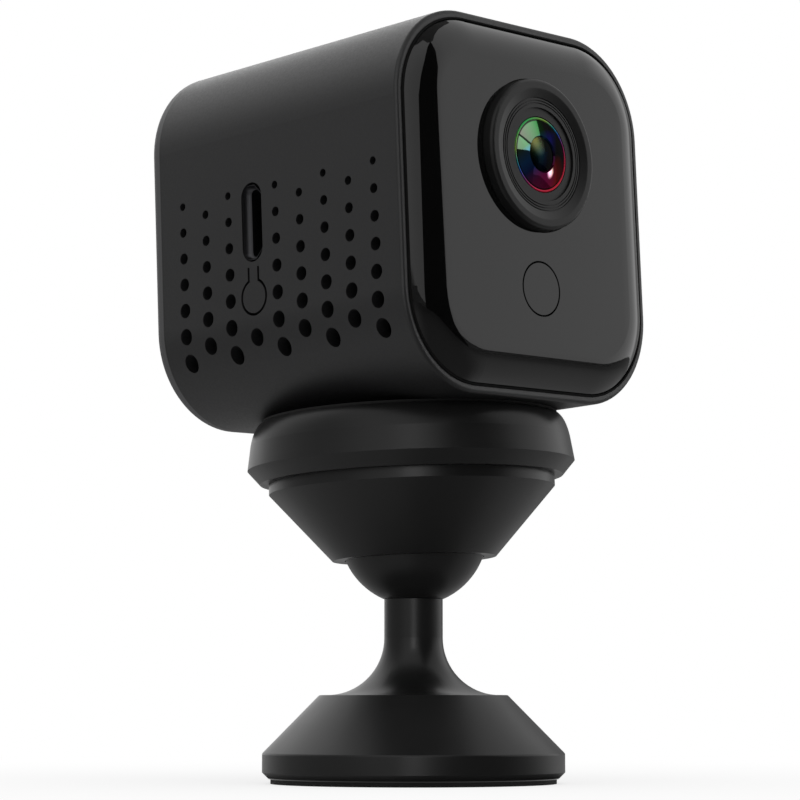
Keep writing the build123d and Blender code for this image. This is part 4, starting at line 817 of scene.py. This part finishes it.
# Cloudy daylight, a little rosier at one side
axes = add_node(tree, "SeparateXYZ", {0: place})
drift = add_node(tree, "MapRange", {"Value": axes.outputs["X"], "From Min": -0.06, "From Max": 0.10})
sky = add_node(tree, "Mix", {0: drift, 6: "#e8ffe8", 7: "#ffbce0"}, data_type="RGBA")
glow_through(tree, sky, 20.0)
upper_pane = lens_card("window_upper_pane", ((18, 30.5), (36, 20.8), (45, 17), (49, 20), (56, 34), (58, 50),
                                             (30, 50)), daylight)
lower_pane = lens_card("window_lower_pane", ((14, 30.7), (35.5, 19.0), (36, 15.2), (10, 15.2)), daylight)

lamp_frost, tree, _, place = start_finish("frosted_lamp")
# An upright oval, bright in the middle and dying away towards its edge
oval = add_node(tree, "Mapping", {"Vector": place, "Rotation": (0, 0, radians(135)),
                                  "Scale": (0.044, 0.026, 1)}, vector_type="TEXTURE")
reach = add_node(tree, "VectorMath", {0: oval}, operation="LENGTH")
fade = add_node(tree, "MapRange", {"Value": reach, "From Min": 0.15, "From Max": 1.0, "To Min": 420.0,
                                   "To Max": 0.0}, interpolation_type="SMOOTHSTEP")
glow_through(tree, "#62ff91", fade)
small_lamp = lens_card("small_lamp", ((46, 4), (50, -4), (57, -3), (66, 9), (65, 16), (56, 16)), lamp_frost)

pale_glow, tree, _, place = start_finish("window_glow")
# The same window thrown back softly by the inner glass
reach = add_node(tree, "VectorMath", {0: place}, operation="LENGTH")
fade = add_node(tree, "MapRange", {"Value": reach, "From Min": 0.02, "From Max": 0.15, "To Min": 26.0,
                                   "To Max": 0.0}, interpolation_type="SMOOTHSTEP")
glow_through(tree, "#ffffd8", fade)
inner_glow = lens_card("inner_glow", ((22, 10), (22, 44), (62, 44), (62, 10)), pale_glow)
light_only("inner_glass", [inner_glow], centre_glass)

fill_size, fill_distance, fill_radiance = 0.20, 0.12, 0.5
# A flat lamp's power is its radiance times pi times its area
lens_fill = softbox("lens_fill", lens_centre + seen_way(24, 5) * fill_distance, lens_centre, fill_size,
                    fill_size, fill_radiance * pi * fill_size * fill_size)
lens_fill.visible_diffuse = False
light_only("lit_glass", [upper_pane, lower_pane, small_lamp, lens_fill], front_glass)


# -------- USB port
# A micro-USB receptacle folded from plated strip, with a moulded tongue and five sprung contacts. It sits
# just inside the slot, so only its mouth shows.
outward = -side
mouth = along("usb_port", outward)[1]
port_low, port_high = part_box("usb_port")
port_centre = (Vector(port_low) + Vector(port_high)) / 2
port_centre += outward * (mouth - port_centre.dot(outward))

# It is made facing along Z, with its wide side along Y and its two chamfered corners towards +X
mouth_height, mouth_width, flare_height = 0.0029, 0.0080, 0.00045
lip_flat, sleeve_length, sheet_thickness = 0.00005, 0.0022, 0.0001
bpy.ops.object.select_all(action="DESELECT")
bpy.ops.mesh.primitive_plane_add(size=1.0, location=(0, 0, flare_height))
usb_receptacle = bpy.context.object
usb_receptacle.name = "usb_receptacle"
bpy.ops.object.transform_apply()
bpy.ops.object.mode_set(mode="EDIT")
mouth_mesh = bmesh.from_edit_mesh(usb_receptacle.data)
bpy.ops.transform.resize(value=(mouth_height, mouth_width, 1), center_override=(0, 0, 0))
for chamfered, corner_cut, steps in ((True, 0.0011, 1), (False, 0.0009, 4)):
    for corner in mouth_mesh.verts:
        corner.select_set(abs(corner.co.y) > mouth_width * 0.49 and (corner.co.x > 0) == chamfered)
    mouth_mesh.select_flush(False)
    bpy.ops.mesh.bevel(offset=corner_cut, segments=steps, affect="VERTICES")
bpy.ops.mesh.select_all(action="SELECT")
bpy.ops.mesh.inset(thickness=lip_flat)
# The flared lip curls inwards in four steps, in mm, and the sleeve runs straight in from it
for width, depth, forward in ((0.06, 0.32, 0.03), (0.09, 0.22, 0.06), (0.12, 0.12, 0.09), (0.08, 0.03, 0.06)):
    bpy.ops.mesh.inset(thickness=width / 1000, depth=-depth / 1000)
    bpy.ops.transform.translate(value=(forward / 1000, 0, 0))
bpy.ops.mesh.extrude_region_move(TRANSFORM_OT_translate={"value": (0, 0, -sleeve_length)})
bpy.ops.object.mode_set(mode="OBJECT")
work(usb_receptacle, "SOLIDIFY", thickness=sheet_thickness, offset=-1.0)
bpy.ops.object.shade_smooth_by_angle(angle=radians(50))


def block(size, place):
    """Block of that size at a place, left active."""
    bpy.ops.object.select_all(action="DESELECT")
    bpy.ops.mesh.primitive_cube_add(size=1.0, scale=size, location=place)
    bpy.ops.object.transform_apply()
    return bpy.context.object


tongue_depth, contact_gap = -0.0019, 0.00065
usb_tongue = block((0.00055, 0.0042, 0.0016), (0.0002, 0, tongue_depth))
usb_tongue.name = "usb_tongue"
work(usb_tongue, "BEVEL", width=0.0001, segments=2)
bpy.ops.object.shade_smooth_by_angle(angle=radians(35))

contacts = [block((0.00008, 0.0003, 0.0013), (0.00051, step * contact_gap, tongue_depth))
            for step in (-2, -1, 0, 1, 2)]
for contact in contacts:
    contact.select_set(True)
bpy.ops.object.join()
usb_contacts = bpy.context.object
usb_contacts.name = "usb_contacts"
work(usb_contacts, "BEVEL", width=0.00003, segments=2)

port_steel, tree, shader, place = start_finish("nickel_with_painted_shade")
# Nickel coloured darker than it is, as painted shade for the slot it sits in, drawn with fine die lines
draw = add_node(tree, "Mapping", {"Vector": place, "Scale": (1 / 0.0002, 1 / 0.0002, 1 / 0.003)})
lines = add_node(tree, "TexNoise", {"Vector": draw, "Scale": 1.0})
tone = add_node(tree, "Mix", {0: lines, 6: "#3e3e40", 7: "#4e4e50"}, data_type="RGBA")
wire(shader, {"Base Color": tone, "Metallic": 1.0, "Roughness": 0.4})
usb_receptacle.data.materials.append(port_steel)

tongue_resin, tree, shader, place = start_finish("black_liquid_crystal_polymer")
# Dull black resin with a faint flow mark
flow = add_node(tree, "TexNoise", {"Vector": place, "Scale": 1 / 0.0008})
tone = add_node(tree, "Mix", {0: flow, 6: "#0a0a0a", 7: "#141414"}, data_type="RGBA")
wire(shader, {"Base Color": tone, "Roughness": 0.55})
usb_tongue.data.materials.append(tongue_resin)

contact_gold, tree, shader, place = start_finish("gold_flashed_contacts")
# A thin warm flash over nickel, brighter at the rubbed tips
rub = add_node(tree, "TexNoise", {"Vector": place, "Scale": 1 / 0.0005})
tone = add_node(tree, "Mix", {0: rub, 6: "#a8843a", 7: "#d0ac58"}, data_type="RGBA")
wire(shader, {"Base Color": tone, "Metallic": 1.0, "Roughness": 0.3})
usb_contacts.data.materials.append(contact_gold)

for piece in (usb_receptacle, usb_tongue, usb_contacts):
    settle(piece, port_centre, outward, up)
    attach(piece, "camera")
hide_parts("usb_port")
